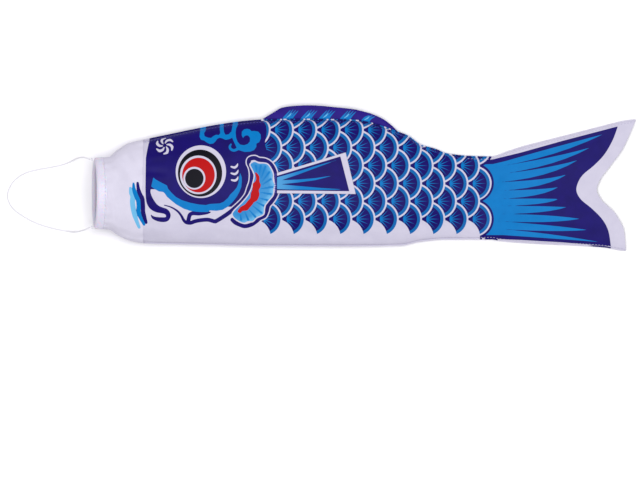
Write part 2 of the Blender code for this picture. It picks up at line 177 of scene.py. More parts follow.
def grid_faces(rows: int, columns: int, ring: bool = False, loop: bool = False, flip: bool = False) -> Array:
    """The four corners of each face of a grid of points numbered row by row.

    Args:
        rows: rows of points.
        columns: points in a row.
        ring: whether the last row joins the first.
        loop: whether each row's last point joins its first.
        flip: whether the faces turn the other way round.

    Returns:
        One line of four point numbers for each face.
    """
    i = np.arange(rows if ring else rows - 1)[:, None]
    j = np.arange(columns if loop else columns - 1)[None]
    below, beside = (i + 1) % rows, (j + 1) % columns
    corners = [i * columns + j, below * columns + j, below * columns + beside, i * columns + beside]
    faces = np.stack([c + 0 * i + 0 * j for c in corners], -1).reshape(-1, 4)
    return faces[:, ::-1] if flip else faces


def make_piece(
    name: str, points: Array, faces: Array, look: bpy.types.Material, marks: dict[str, Array] | None = None
) -> bpy.types.Object:
    """Puts a surface in the scene, with its place in its mesh.

    Args:
        name: the piece's name.
        points: its points, in metres.
        faces: its faces' corners.
        look: its material.
        marks: numbers for each point, by attribute name.

    Returns:
        The new object.
    """
    mesh = bpy.data.meshes.new(name)
    mesh.from_pydata(points.reshape(-1, 3).tolist(), [], faces.tolist())
    mesh.polygons.foreach_set("use_smooth", np.ones(len(mesh.polygons), bool))
    for key, values in (marks or {}).items():
        layer = mesh.attributes.new(key, "FLOAT", "POINT")
        layer.data.foreach_set("value", np.ascontiguousarray(values, np.float32).ravel())
    mesh.materials.append(look)
    mesh.update()
    piece = bpy.data.objects.new(name, mesh)
    bpy.context.scene.collection.objects.link(piece)
    return piece


def give_wall(piece: bpy.types.Object, wall: float, outwards: float = -1.0) -> None:
    """Gives a sheet its thickness with a Solidify modifier.

    Args:
        piece: the sheet.
        wall: how thick it becomes.
        outwards: -1 to thicken it inwards, 0 both ways, and 1 outwards.
    """
    solidify = piece.modifiers.new("Wall", "SOLIDIFY")
    solidify.thickness, solidify.offset = wall, outwards


def tube(line: Array, radius: Array | float, around: int, closed: bool = False) -> tuple[Array, Array, Array]:
    """A round tube along a line. Each ring is radius (cos a · side + sin a · up), across the line's own direction.

    Args:
        line: the points it follows.
        radius: its radius, one for all or one for each point.
        around: points in each ring.
        closed: whether the line is a loop.

    Returns:
        Its points, its faces, and how far along the line each point is.
    """
    way = np.roll(line, -1, 0) - np.roll(line, 1, 0) if closed else np.gradient(line, axis=0)
    way = way / np.linalg.norm(way, axis=1, keepdims=True)
    side = np.cross(way, np.array([0.13, 0.07, 1.0]))
    side = side / np.linalg.norm(side, axis=1, keepdims=True)
    up = np.cross(side, way)
    angle = np.linspace(0, 2 * math.pi, around, endpoint=False)[None, :, None]
    reach = np.broadcast_to(np.asarray(radius, float), (len(line),))[:, None, None]
    points = line[:, None] + reach * (np.cos(angle) * side[:, None] + np.sin(angle) * up[:, None])
    run = np.concatenate([[0], np.cumsum(np.linalg.norm(np.diff(line, axis=0), axis=1))])
    faces = grid_faces(len(line), around, ring=closed, loop=True)
    points, along = points.reshape(-1, 3), np.repeat(run, around)
    if closed:
        return points, faces, along
    # A fan of triangles round a middle point closes each end
    n, top = np.arange(around), (len(line) - 1) * around
    after, middle = (n + 1) % around, np.full(around, top + around)
    low, high = np.stack([n, after, middle], -1), np.stack([top + after, top + n, middle + 1], -1)
    faces = np.array([*faces.tolist(), *low.tolist(), *high.tolist()], object)
    return np.concatenate([points, line[[0, -1]]]), faces, np.concatenate([along, run[[0, -1]]])


def capsules(line: Array, side: Array, up: Array, radius: float) -> tuple[Array, Array]:
    """Stitches, each one a short capsule.

    Args:
        line: the places that each stitch runs through, one row of STITCH_RINGS for each.
        side: the way across the stitch.
        up: the way across both.
        radius: the stitches' radius. At a share p of half the way from the middle it is times √(1.02 - p²).

    Returns:
        Their points, radius (cos a · side + sin a · up) off the line, and their faces.
    """
    place = np.linspace(-1, 1, STITCH_RINGS)
    spin = np.linspace(0, 2 * math.pi, STITCH_AROUND, endpoint=False)[:, None]
    reach = (radius * np.sqrt(1.02 - place**2))[:, None, None]
    points = line[:, :, None] + reach * (np.cos(spin) * side + np.sin(spin) * up)
    last = (STITCH_RINGS - 1) * STITCH_AROUND + np.array([[1, 2, 3, 0], [3, 4, 5, 0]])
    wall = grid_faces(STITCH_RINGS, STITCH_AROUND, loop=True, flip=True)
    one = np.concatenate([wall, np.array([[3, 2, 1, 0], [5, 4, 3, 0]]), last])
    starts = STITCH_RINGS * STITCH_AROUND * np.arange(len(line))
    return points, (one[None] + starts[:, None, None]).reshape(-1, 4)


def bend_at_hinge(piece: bpy.types.Object) -> None:
    """Bakes a piece's place into its mesh; nothing is bent here."""
    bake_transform(piece)


def turn_faces_out(piece: bpy.types.Object) -> None:
    """Turns a closed mesh's faces outwards: if the volume from its faces is below 0, all are turned."""
    mesh = piece.data
    mesh.calc_loop_triangles()
    points = np.empty(len(mesh.vertices) * 3)
    mesh.vertices.foreach_get("co", points)
    corners = np.empty(len(mesh.loop_triangles) * 3, np.int32)
    mesh.loop_triangles.foreach_get("vertices", corners)
    a, b, c = np.moveaxis(points.reshape(-1, 3)[corners.reshape(-1, 3)], 1, 0)
    if float((a * np.cross(b, c)).sum()) < 0:
        mesh.flip_normals()


# ---------------------------------------------------------------- materials


def linear(code: str) -> tuple[float, float, float, float]:
    """An sRGB hex colour as linear light: c/12.92 up to 0.04045, and ((c+0.055)/1.055)^2.4 above."""
    parts = (int(code[i : i + 2], 16) / 255 for i in (1, 3, 5))
    red, green, blue = (c / 12.92 if c <= 0.04045 else ((c + 0.055) / 1.055) ** 2.4 for c in parts)
    return red, green, blue, 1.0


def feed(tree: bpy.types.NodeTree, node: bpy.types.Node, values: dict) -> None:
    """Fills a node's inputs.

    Args:
        tree: the material's node tree.
        node: the node.
        values: what goes into its inputs: a number or colour, or the output that is linked to it.
    """
    for name, value in values.items():
        if isinstance(value, bpy.types.NodeSocket):
            tree.links.new(value, node.inputs[name])
        else:
            node.inputs[name].default_value = value


def add(tree: bpy.types.NodeTree, kind: str, values: dict | None = None, **settings: object) -> bpy.types.Node:
    """Adds a node.

    Args:
        tree: the material's node tree.
        kind: the node's type.
        values: what goes into its inputs, as for feed.
        settings: the node's own settings.

    Returns:
        The node.
    """
    node = tree.nodes.new(kind)
    for name, value in settings.items():
        setattr(node, name, value)
    feed(tree, node, values or {})
    return node


def work_out(tree: bpy.types.NodeTree, known: dict[str, object], sums: Sequence[tuple]) -> dict[str, object]:
    """Turns a table of sums into nodes, one after another.

    Args:
        tree: the material's node tree.
        known: the sockets that the sums start from, by name.
        sums: (result, operation, first, second, third), where a string names an earlier result.

    Returns:
        All results by name.
    """
    found = dict(known)
    for result, operation, *terms in sums:
        values = {i: found[t] if isinstance(t, str) else t for i, t in enumerate(terms)}
        found[result] = add(tree, "ShaderNodeMath", values, operation=operation).outputs[0]
    return found


def new_material(name: str) -> tuple[bpy.types.Material, bpy.types.NodeTree, bpy.types.Node]:
    """An empty material, its tree, and its Principled shader joined to the output."""
    made = bpy.data.materials.new(name)
    made.use_nodes = True
    made.node_tree.nodes.clear()
    shader = add(made.node_tree, "ShaderNodeBsdfPrincipled")
    add(made.node_tree, "ShaderNodeOutputMaterial", {"Surface": shader.outputs[0]})
    return made, made.node_tree, shader


@dataclass(frozen=True)
class PolyesterSatin:
    """Woven polyester satin: a soft sheen that runs along the folds, and the weave only as a faint grain."""

    name: str = "white_polyester_satin"
    colour: str = "#DEDAEA"
    shade: str = "#CCC6DB"
    roughness: float = 0.46
    thread_mm: float = 1.1  # the real thread spacing is about 0.15 mm, too fine to show

    def dress(self, tree: bpy.types.NodeTree, shader: bpy.types.Node, colour: object) -> None:
        """Gives the shader satin's gloss, sheen and weave.

        Args:
            tree: the material's node tree.
            shader: its Principled shader.
            colour: the output that gives the cloth's colour.
        """
        place = add(tree, "ShaderNodeTexCoord").outputs["Object"]
        drift = add(tree, "ShaderNodeTexNoise", {"Vector": place, "Scale": 24.0, "Detail": 2.0}).outputs[0]
        wave = {"Vector": place, "Scale": WAVE_TURN / (self.thread_mm * MM), "Distortion": 1.5, "Detail Scale": 3.0}
        threads = add(tree, "ShaderNodeTexWave", wave, bands_direction="DIAGONAL").outputs["Fac"]
        grain = add(tree, "ShaderNodeTexNoise", {"Vector": place, "Scale": 900.0, "Detail": 3.0}).outputs[0]
        rough = add(tree, "ShaderNodeMapRange", {0: drift, 3: self.roughness - 0.06, 4: self.roughness + 0.08})
        # Slack in the cloth, then its threads, then their fibres, each on top of the one before
        relief: dict[str, bpy.types.NodeSocket] = {}
        for height, strength, depth in ((drift, 0.12, 1.2 * MM), (threads, 0.10, 0.1 * MM), (grain, 0.12, 0.1 * MM)):
            bump = {"Height": height, "Strength": strength, "Distance": depth, **relief}
            relief = {"Normal": add(tree, "ShaderNodeBump", bump).outputs[0]}
        # The back of the cloth is a little paler, because the print doesn't go right through
        facing = add(tree, "ShaderNodeNewGeometry").outputs["Backfacing"]
        back = {"Factor": facing, 6: colour, 7: linear(self.shade)}
        paler = add(tree, "ShaderNodeMix", back, data_type="RGBA").outputs[2]
        half = add(tree, "ShaderNodeMix", {"Factor": 0.45, 6: colour, 7: paler}, data_type="RGBA").outputs[2]
        gloss = {"IOR": 1.5, "Sheen Weight": 0.02, "Sheen Roughness": 0.35, "Specular IOR Level": 0.06}
        feed(tree, shader, {"Base Color": half, "Roughness": rough.outputs[0], **relief, **gloss})

    def make(self) -> bpy.types.Material:
        """Plain cloth: its colour drifts a little, as bleached satin's does, and some light goes through it."""
        made, tree, shader = new_material(self.name)
        place = add(tree, "ShaderNodeTexCoord").outputs["Object"]
        drift = add(tree, "ShaderNodeTexNoise", {"Vector": place, "Scale": 34.0, "Detail": 3.0})
        tones = {"Factor": drift.outputs[0], 6: linear(self.shade), 7: linear(self.colour)}
        self.dress(tree, shader, add(tree, "ShaderNodeMix", tones, data_type="RGBA").outputs[2])
        # Light that goes through thin white satin: the far side of the mouth stays pale
        feed(tree, shader, {"Subsurface Weight": 0.3, "Subsurface Scale": 0.004, "Specular IOR Level": 0.3})
        return made


@dataclass(frozen=True)
class PrintedSatin(PolyesterSatin):
    """Satin with its picture printed on: inks lie in the cloth, so they share its sheen and show small unevenness."""

    name: str = "printed_polyester_satin"
    shade: str = "#BAB6CB"
    navy: str = "#120950"
    navy_light: str = "#1B1070"
    sky: str = "#0169AE"
    sky_light: str = "#0479C2"
    pale: str = "#6CB2DC"
    white: str = "#CAC6D8"
    red: str = "#AE060B"
    black: str = "#0D0C16"
    band: str = "#0D5FA3"
    scale_radius: float = 22.9  # and the spacing of the scales' rows, in millimetres as all that follow
    scale_period: float = 29.9  # from one scale to the next in a row
    first_row: float = 61.5
    first_centre: float = 7.3
    last_row: float = 5.5  # rows with a higher number are bare
    outline_end: float = 2.2  # from a scale's rim to the end of its white outline, its blue band and its dark line
    band_end: float = 6.2
    dark_end: float = 7.0
    fan_clear: float = 7.6  # the rays stay this far inside the rim
    fan_offset: float = 1.6  # from the circle's centre forward to the point where the rays meet
    fan_reach: float = 1.32  # half the angle that the rays take up
    fan_side: float = 2.5  # how fast the rays are cut off beyond that angle, in millimetres to the radian
    ray_turn: float = 0.41  # the angle from ray to ray
    ray_half: float = 0.86  # a ray's half width where it starts
    ray_taper: float = 0.054  # and what it loses with each millimetre

    def scale_sums(self) -> tuple[tuple, ...]:
        """The sums for the scales' pattern.

        Returns:
            A table for work_out. Rows of circles stand one radius apart, every second row half a period
            along. At a place only the circles of the row above and the row below can cover it, and the
            one whose centre is furthest forward lies on top: in each row that is the first centre not
            less than x minus the half chord. "edge" is the distance in from that circle's rim. The fan
            is a set of rays round a point near the scale's front cusp, where a ray's half width falls
            with distance. Rows under the last printed one cut its scales off, and are left white.
        """
        radius, period, half = self.scale_radius, self.scale_period, 0.5 * self.scale_period
        out_of_reach = 1000.0  # added to a centre that misses the place, so that the other row's wins
        sums: list[tuple] = [
            ("down", "SUBTRACT", self.first_row, "y"),
            ("row", "DIVIDE", "down", radius),
            ("upper", "FLOOR", "row"),
            ("lower", "ADD", "upper", 1.0),
            ("odd_upper", "FLOORED_MODULO", "upper", 2.0),
            ("odd_lower", "SUBTRACT", 1.0, "odd_upper"),
            ("share_upper", "SUBTRACT", "row", "upper"),
            ("share_lower", "SUBTRACT", "lower", "row"),
        ]
        for word in ("upper", "lower"):
            sums += [
                (f"drop_{word}", "MULTIPLY", f"share_{word}", radius),
                (f"square_{word}", "MULTIPLY", f"drop_{word}", f"drop_{word}"),
                (f"rest_{word}", "SUBTRACT", radius * radius, f"square_{word}"),
                (f"chord_{word}", "SQRT", f"rest_{word}"),
                (f"start_{word}", "MULTIPLY_ADD", f"odd_{word}", half, self.first_centre),
                (f"front_{word}", "SUBTRACT", "x", f"chord_{word}"),
                (f"over_{word}", "SUBTRACT", f"front_{word}", f"start_{word}"),
                (f"count_{word}", "DIVIDE", f"over_{word}", period),
                (f"whole_{word}", "CEIL", f"count_{word}"),
                (f"centre_{word}", "MULTIPLY_ADD", f"whole_{word}", period, f"start_{word}"),
                (f"ahead_{word}", "SUBTRACT", f"centre_{word}", "x"),
                (f"missed_{word}", "GREATER_THAN", f"ahead_{word}", f"chord_{word}"),
                (f"cost_{word}", "MULTIPLY_ADD", f"missed_{word}", out_of_reach, f"centre_{word}"),
            ]
        sums += [
            ("take_upper", "LESS_THAN", "cost_upper", "cost_lower"),
            ("take_lower", "SUBTRACT", 1.0, "take_upper"),
            ("first", "MINIMUM", "cost_upper", "cost_lower"),
            ("row_taken", "ADD", "upper", "take_lower"),
            ("bare", "GREATER_THAN", "row_taken", self.last_row),
            ("dx", "SUBTRACT", "x", "first"),
            ("dy_upper", "MULTIPLY", "drop_upper", "take_upper"),
            ("dy", "MULTIPLY_ADD", "drop_lower", "take_lower", "dy_upper"),
            ("dx2", "MULTIPLY", "dx", "dx"),
            ("r2", "MULTIPLY_ADD", "dy", "dy", "dx2"),
            ("r", "SQRT", "r2"),
            ("edge", "SUBTRACT", radius, "r"),
            ("fx", "ADD", "dx", self.fan_offset),
            ("fx2", "MULTIPLY", "fx", "fx"),
            ("f2", "MULTIPLY_ADD", "dy", "dy", "fx2"),
            ("f", "SQRT", "f2"),
            ("angle", "ARCTAN2", "dy", "fx"),
            ("turns", "DIVIDE", "angle", self.ray_turn),
            ("near", "ROUND", "turns"),
            ("off", "SUBTRACT", "turns", "near"),
            ("aside", "ABSOLUTE", "off"),
            ("gap", "MULTIPLY", "aside", self.ray_turn),
            ("gap_mm", "MULTIPLY", "gap", "f"),
            ("taper", "MULTIPLY_ADD", "f", -self.ray_taper, self.ray_half),
            ("ray", "SUBTRACT", "taper", "gap_mm"),
            ("wide", "ABSOLUTE", "angle"),
            ("spread", "SUBTRACT", self.fan_reach, "wide"),
            ("spread_mm", "MULTIPLY", "spread", self.fan_side),
            ("ray_in", "MINIMUM", "ray", "spread_mm"),
            ("clear", "SUBTRACT", "edge", self.fan_clear),
            ("fan", "MINIMUM", "ray_in", "clear"),
        ]
        return tuple(sums)

    def make(self) -> bpy.types.Material:
        """The printed cloth.

        Returns:
            The material. Each ink's field is its distance in millimetres inside that ink's edge, and shows
            where it is over 0, so an edge stays sharp between points.
        """
        made, tree, shader = new_material(self.name)
        place = add(tree, "ShaderNodeTexCoord").outputs["Object"]
        cloudy = add(tree, "ShaderNodeTexNoise", {"Vector": place, "Scale": 60.0, "Detail": 4.0, "Roughness": 0.6})
        read = {"x": "print_x", "y": "print_y", "wash": "wash", **{ink.value: ink.value for ink in Ink}}
        known = {key: add(tree, "ShaderNodeAttribute", attribute_name=of).outputs["Fac"] for key, of in read.items()}
        found = work_out(tree, known, self.scale_sums())

        def laid(share: object, under: object, top: object) -> bpy.types.NodeSocket:
            """An ink laid over another by a share."""
            return add(tree, "ShaderNodeMix", {"Factor": share, 6: under, 7: top}, data_type="RGBA").outputs[2]

        def over(under: object, ink: object, level: object, start: float, soft: float = 0.22) -> bpy.types.NodeSocket:
            """An ink laid where a field passes start, with an edge that is soft millimetres wide."""
            edge = {0: level, 1: start - 0.5 * soft, 2: start + 0.5 * soft, 3: 0.0, 4: 1.0}
            return laid(add(tree, "ShaderNodeMapRange", edge, clamp=True).outputs[0], under, ink)

        navy, sky, white = (
            laid(cloudy.outputs[0], linear(dark), linear(light))
            for dark, light in ((self.navy, self.navy_light), (self.sky, self.sky_light), (self.shade, self.white))
        )
        sky = laid(found["wash"], sky, linear(self.pale))
        # A scale from its rim inwards: white outline, blue band, thin dark line, navy with a fan of rays
        scale = over(white, linear(self.band), found["edge"], self.outline_end)
        scale = over(scale, linear(self.navy), found["edge"], self.band_end)
        scale = over(scale, navy, found["edge"], self.dark_end, 0.6)
        scale = over(scale, sky, found["fan"], 0.0, 0.35)
        scale = over(scale, white, found["bare"], 0.5)
        colour = navy
        for ink, tone in (
            (Ink.SCALES, scale), (Ink.SKY, sky), (Ink.PALE, linear(self.pale)), (Ink.WHITE, white),
            (Ink.BLACK, linear(self.black)), (Ink.RED, linear(self.red)),
        ):  # fmt: skip
            colour = over(colour, tone, found[ink.value], 0.0)
        self.dress(tree, shader, colour)
        return made


@dataclass(frozen=True)
class BraidedCord:
    """Braided polyester cord: crossing strands that catch the light one by one, and a dull surface."""

    name: str = "braided_polyester_cord"
    colour: str = "#F2F1F6"
    # This is the colour of the painted shade between the strands
    groove_shade: str = "#C9C7D2"
    strand_mm: float = 1.3  # a real strand is about 0.5 mm wide, too fine to show

    def make(self) -> bpy.types.Material:
        """Strands wound both ways: waves of distance along the cord plus and minus the angle round it."""
        made, tree, shader = new_material(self.name)
        known = {}
        for key in ("run", "spin"):
            known[key] = add(tree, "ShaderNodeAttribute", attribute_name=f"cord_{key}").outputs["Fac"]
        sums = (
            ("pitch", "MULTIPLY", "run", math.pi / self.strand_mm),
            ("right", "MULTIPLY_ADD", "spin", 2.0, "pitch"),
            ("left", "MULTIPLY_ADD", "spin", -2.0, "pitch"),
            ("one", "SINE", "right"),
            ("two", "SINE", "left"),
            ("cross", "MULTIPLY", "one", "two"),
            ("height", "MULTIPLY_ADD", "cross", 0.5, 0.5),
        )
        height = work_out(tree, known, sums)["height"]
        # Painted shade: the cord is painted darker in the grooves between its strands, where the braid's height is low
        tones = {"Factor": height, 6: linear(self.groove_shade), 7: linear(self.colour)}
        mixed = add(tree, "ShaderNodeMix", tones, data_type="RGBA").outputs[2]
        bump = add(tree, "ShaderNodeBump", {"Height": height, "Strength": 0.6, "Distance": 0.2 * MM}).outputs[0]
        feed(tree, shader, {"Base Color": mixed, "Normal": bump, "Roughness": 0.68, "Sheen Weight": 0.25})
        return made


@dataclass(frozen=True)
class SpunThread:
    """Spun polyester sewing thread: a twisted, slightly shiny line."""

    name: str = "spun_polyester_thread"
    colour: str = "#2A2390"
    # The second colour is the painted highlight on the crowns of the twist
    light: str = "#5A55C8"
    twist_mm: float = 0.8  # a real thread turns round every 0.3 mm, too fine to show

    def make(self) -> bpy.types.Material:
        """The twist is a wave in height, and in colour as a painted highlight on its crowns."""
        made, tree, shader = new_material(self.name)
        place = add(tree, "ShaderNodeTexCoord").outputs["Object"]
        wave = {"Vector": place, "Scale": WAVE_TURN / (self.twist_mm * MM), "Distortion": 0.6}
        twist = add(tree, "ShaderNodeTexWave", wave, bands_direction="DIAGONAL").outputs["Fac"]
        # Painted highlight: the twist's crowns are painted in the lighter colour
        tones = {"Factor": twist, 6: linear(self.colour), 7: linear(self.light)}
        mixed = add(tree, "ShaderNodeMix", tones, data_type="RGBA").outputs[2]
        bump = add(tree, "ShaderNodeBump", {"Height": twist, "Strength": 0.5, "Distance": 0.2 * MM}).outputs[0]
        feed(tree, shader, {"Base Color": mixed, "Normal": bump, "Roughness": 0.55})
        return made


@dataclass(frozen=True)
class PultrudedRod:
    """Pultruded glass fibre rod: milky, with fine long streaks from its fibres."""

    name: str = "pultruded_glass_fibre"
    colour: str = "#E6E4DC"
    streak: str = "#CFCCC0"

    def make(self) -> bpy.types.Material:
        """Stretched noise gives the streaks, and a thin clear resin skin gives the gloss."""
        made, tree, shader = new_material(self.name)
        place = add(tree, "ShaderNodeTexCoord").outputs["Object"]
        laid = add(tree, "ShaderNodeMapping", {"Vector": place, "Scale": (900.0, 60.0, 60.0)}).outputs[0]
        fibres = add(tree, "ShaderNodeTexNoise", {"Vector": laid, "Scale": 4.0, "Detail": 4.0}).outputs[0]
        tones = {"Factor": fibres, 6: linear(self.streak), 7: linear(self.colour)}
        mixed = add(tree, "ShaderNodeMix", tones, data_type="RGBA").outputs[2]
        bump = add(tree, "ShaderNodeBump", {"Height": fibres, "Strength": 0.2, "Distance": 0.1 * MM}).outputs[0]
        feed(tree, shader, {"Base Color": mixed, "Normal": bump, "Roughness": 0.34})
        return made


@dataclass(frozen=True)
class DrawnAluminium:
    """Drawn aluminium tube: a bright metal with faint lines along its draw."""

    name: str = "drawn_aluminium"
    colour: str = "#C9CACC"

    def make(self) -> bpy.types.Material:
        """The lines vary the roughness, and a few shallow dents come from the crimping."""
        made, tree, shader = new_material(self.name)
        place = add(tree, "ShaderNodeTexCoord").outputs["Object"]
        laid = add(tree, "ShaderNodeMapping", {"Vector": place, "Scale": (700.0, 90.0, 90.0)})
        lines = add(tree, "ShaderNodeTexNoise", {"Vector": laid.outputs[0], "Scale": 3.0, "Detail": 3.0})
        dents = add(tree, "ShaderNodeTexNoise", {"Vector": place, "Scale": 260.0})
        rough = add(tree, "ShaderNodeMapRange", {0: lines.outputs[0], 3: 0.22, 4: 0.42})
        bump = add(tree, "ShaderNodeBump", {"Height": dents.outputs[0], "Strength": 0.25, "Distance": 0.4 * MM})
        feed(tree, shader, {"Roughness": rough.outputs[0], "Normal": bump.outputs[0]})
        feed(tree, shader, {"Base Color": linear(self.colour), "Metallic": 1.0})
        return made


# ---------------------------------------------------------------- the print


class Painter:
    """Lays inks over each other on a set of places, and keeps for each ink the distance inside its edge."""

    def __init__(self, x: Array, y: Array) -> None:
        """Starts with bare white cloth.

        Args:
            x: places along the carp, in millimetres.
            y: places towards its back, in millimetres.
        """
        self.x, self.y = x, y
        self.fields = {ink: np.full(x.shape, -FAR) for ink in Ink}
        self.fields[Ink.WHITE][:] = FAR
        self.wash = np.zeros(x.shape)

    def lay(self, ink: Ink | None, inside: Array) -> None:
        """Lays an ink over the others.

        Args:
            ink: the ink, or None for navy.
            inside: distance inside its edge. Its own field becomes the larger of the two, and each other
                field the smaller of itself and minus this one.
        """
        inside = np.clip(inside, -FAR, FAR)
        for other, level in self.fields.items():
            self.fields[other] = np.maximum(level, inside) if other is ink else np.minimum(level, -inside)

    def distances(self, line: Array, close: bool) -> tuple[Array, Array, Array]:
        """Distance from the places near a line to it.

        Args:
            line: the line's points.
            close: whether its last point joins its first.

        Returns:
            Which places are near its box, and for them the distance to each straight piece and how far
            along that piece the nearest point is.
        """
        low, high = line.min(0) - FAR, line.max(0) + FAR
        near = (self.x > low[0]) & (self.x < high[0]) & (self.y > low[1]) & (self.y < high[1])
        start, end = (line, np.roll(line, -1, 0)) if close else (line[:-1], line[1:])
        way = end - start
        px, py = self.x[near][:, None] - start[:, 0], self.y[near][:, None] - start[:, 1]
        share = np.clip((px * way[:, 0] + py * way[:, 1]) / np.maximum((way**2).sum(1), 1e-9), 0, 1)
        return near, np.hypot(px - share * way[:, 0], py - share * way[:, 1]), share

    def area(self, ink: Ink | None, outline: Line, soft: bool = True, grow: float = 0.0) -> None:
        """Lays an ink inside an outline.

        Args:
            ink: the ink, or None for navy.
            outline: the outline's points.
            soft: whether the outline is curved through its points.
            grow: how far it spreads past the outline.
        """
        line = rounded(outline, closed=True) if soft else np.array(outline, float)
        near, away, _ = self.distances(line, True)
        end = np.roll(line, -1, 0)
        px, py = self.x[near][:, None], self.y[near][:, None]
        crosses = (line[:, 1] > py) != (end[:, 1] > py)
        rise = np.where(end[:, 1] == line[:, 1], 1e-9, end[:, 1] - line[:, 1])
        odd = (crosses & (px < line[:, 0] + (py - line[:, 1]) * (end[:, 0] - line[:, 0]) / rise)).sum(1) % 2 == 1
        inside = np.full(self.x.shape, -FAR)
        inside[near] = np.where(odd, 1, -1) * away.min(1) + grow
        self.lay(ink, inside)

    def stroke(self, ink: Ink | None, line: Line, widths: Sequence[float], grow: float = 0.0) -> None:
        """Lays a brush stroke.

        Args:
            ink: the ink, or None for navy.
            line: the points that it goes through.
            widths: half its width at even places along it, from first to last.
            grow: how far it spreads past that.
        """
        path = rounded(line)
        half = np.interp(np.linspace(0, 1, len(path)), np.linspace(0, 1, len(widths)), widths)
        near, away, share = self.distances(path, False)
        inside = np.full(self.x.shape, -FAR)
        inside[near] = (half[:-1] + share * (half[1:] - half[:-1]) - away).max(1) + grow
        self.lay(ink, inside)

    def oval(self, ink: Ink | None, middle: tuple[float, float], radii: tuple[float, float]) -> None:
        """Lays an oval: its field is (1 - the length of (dx/rx, dy/ry)) times the smaller radius."""
        reach = np.hypot((self.x - middle[0]) / radii[0], (self.y - middle[1]) / radii[1])
        self.lay(ink, (1 - reach) * min(radii))

    def marks(self) -> dict[str, Array]:
        """The fields and the places, as attributes for a mesh."""
        found = {ink.value: level for ink, level in self.fields.items()}
        return {**found, "print_x": self.x, "print_y": self.y, "wash": self.wash}


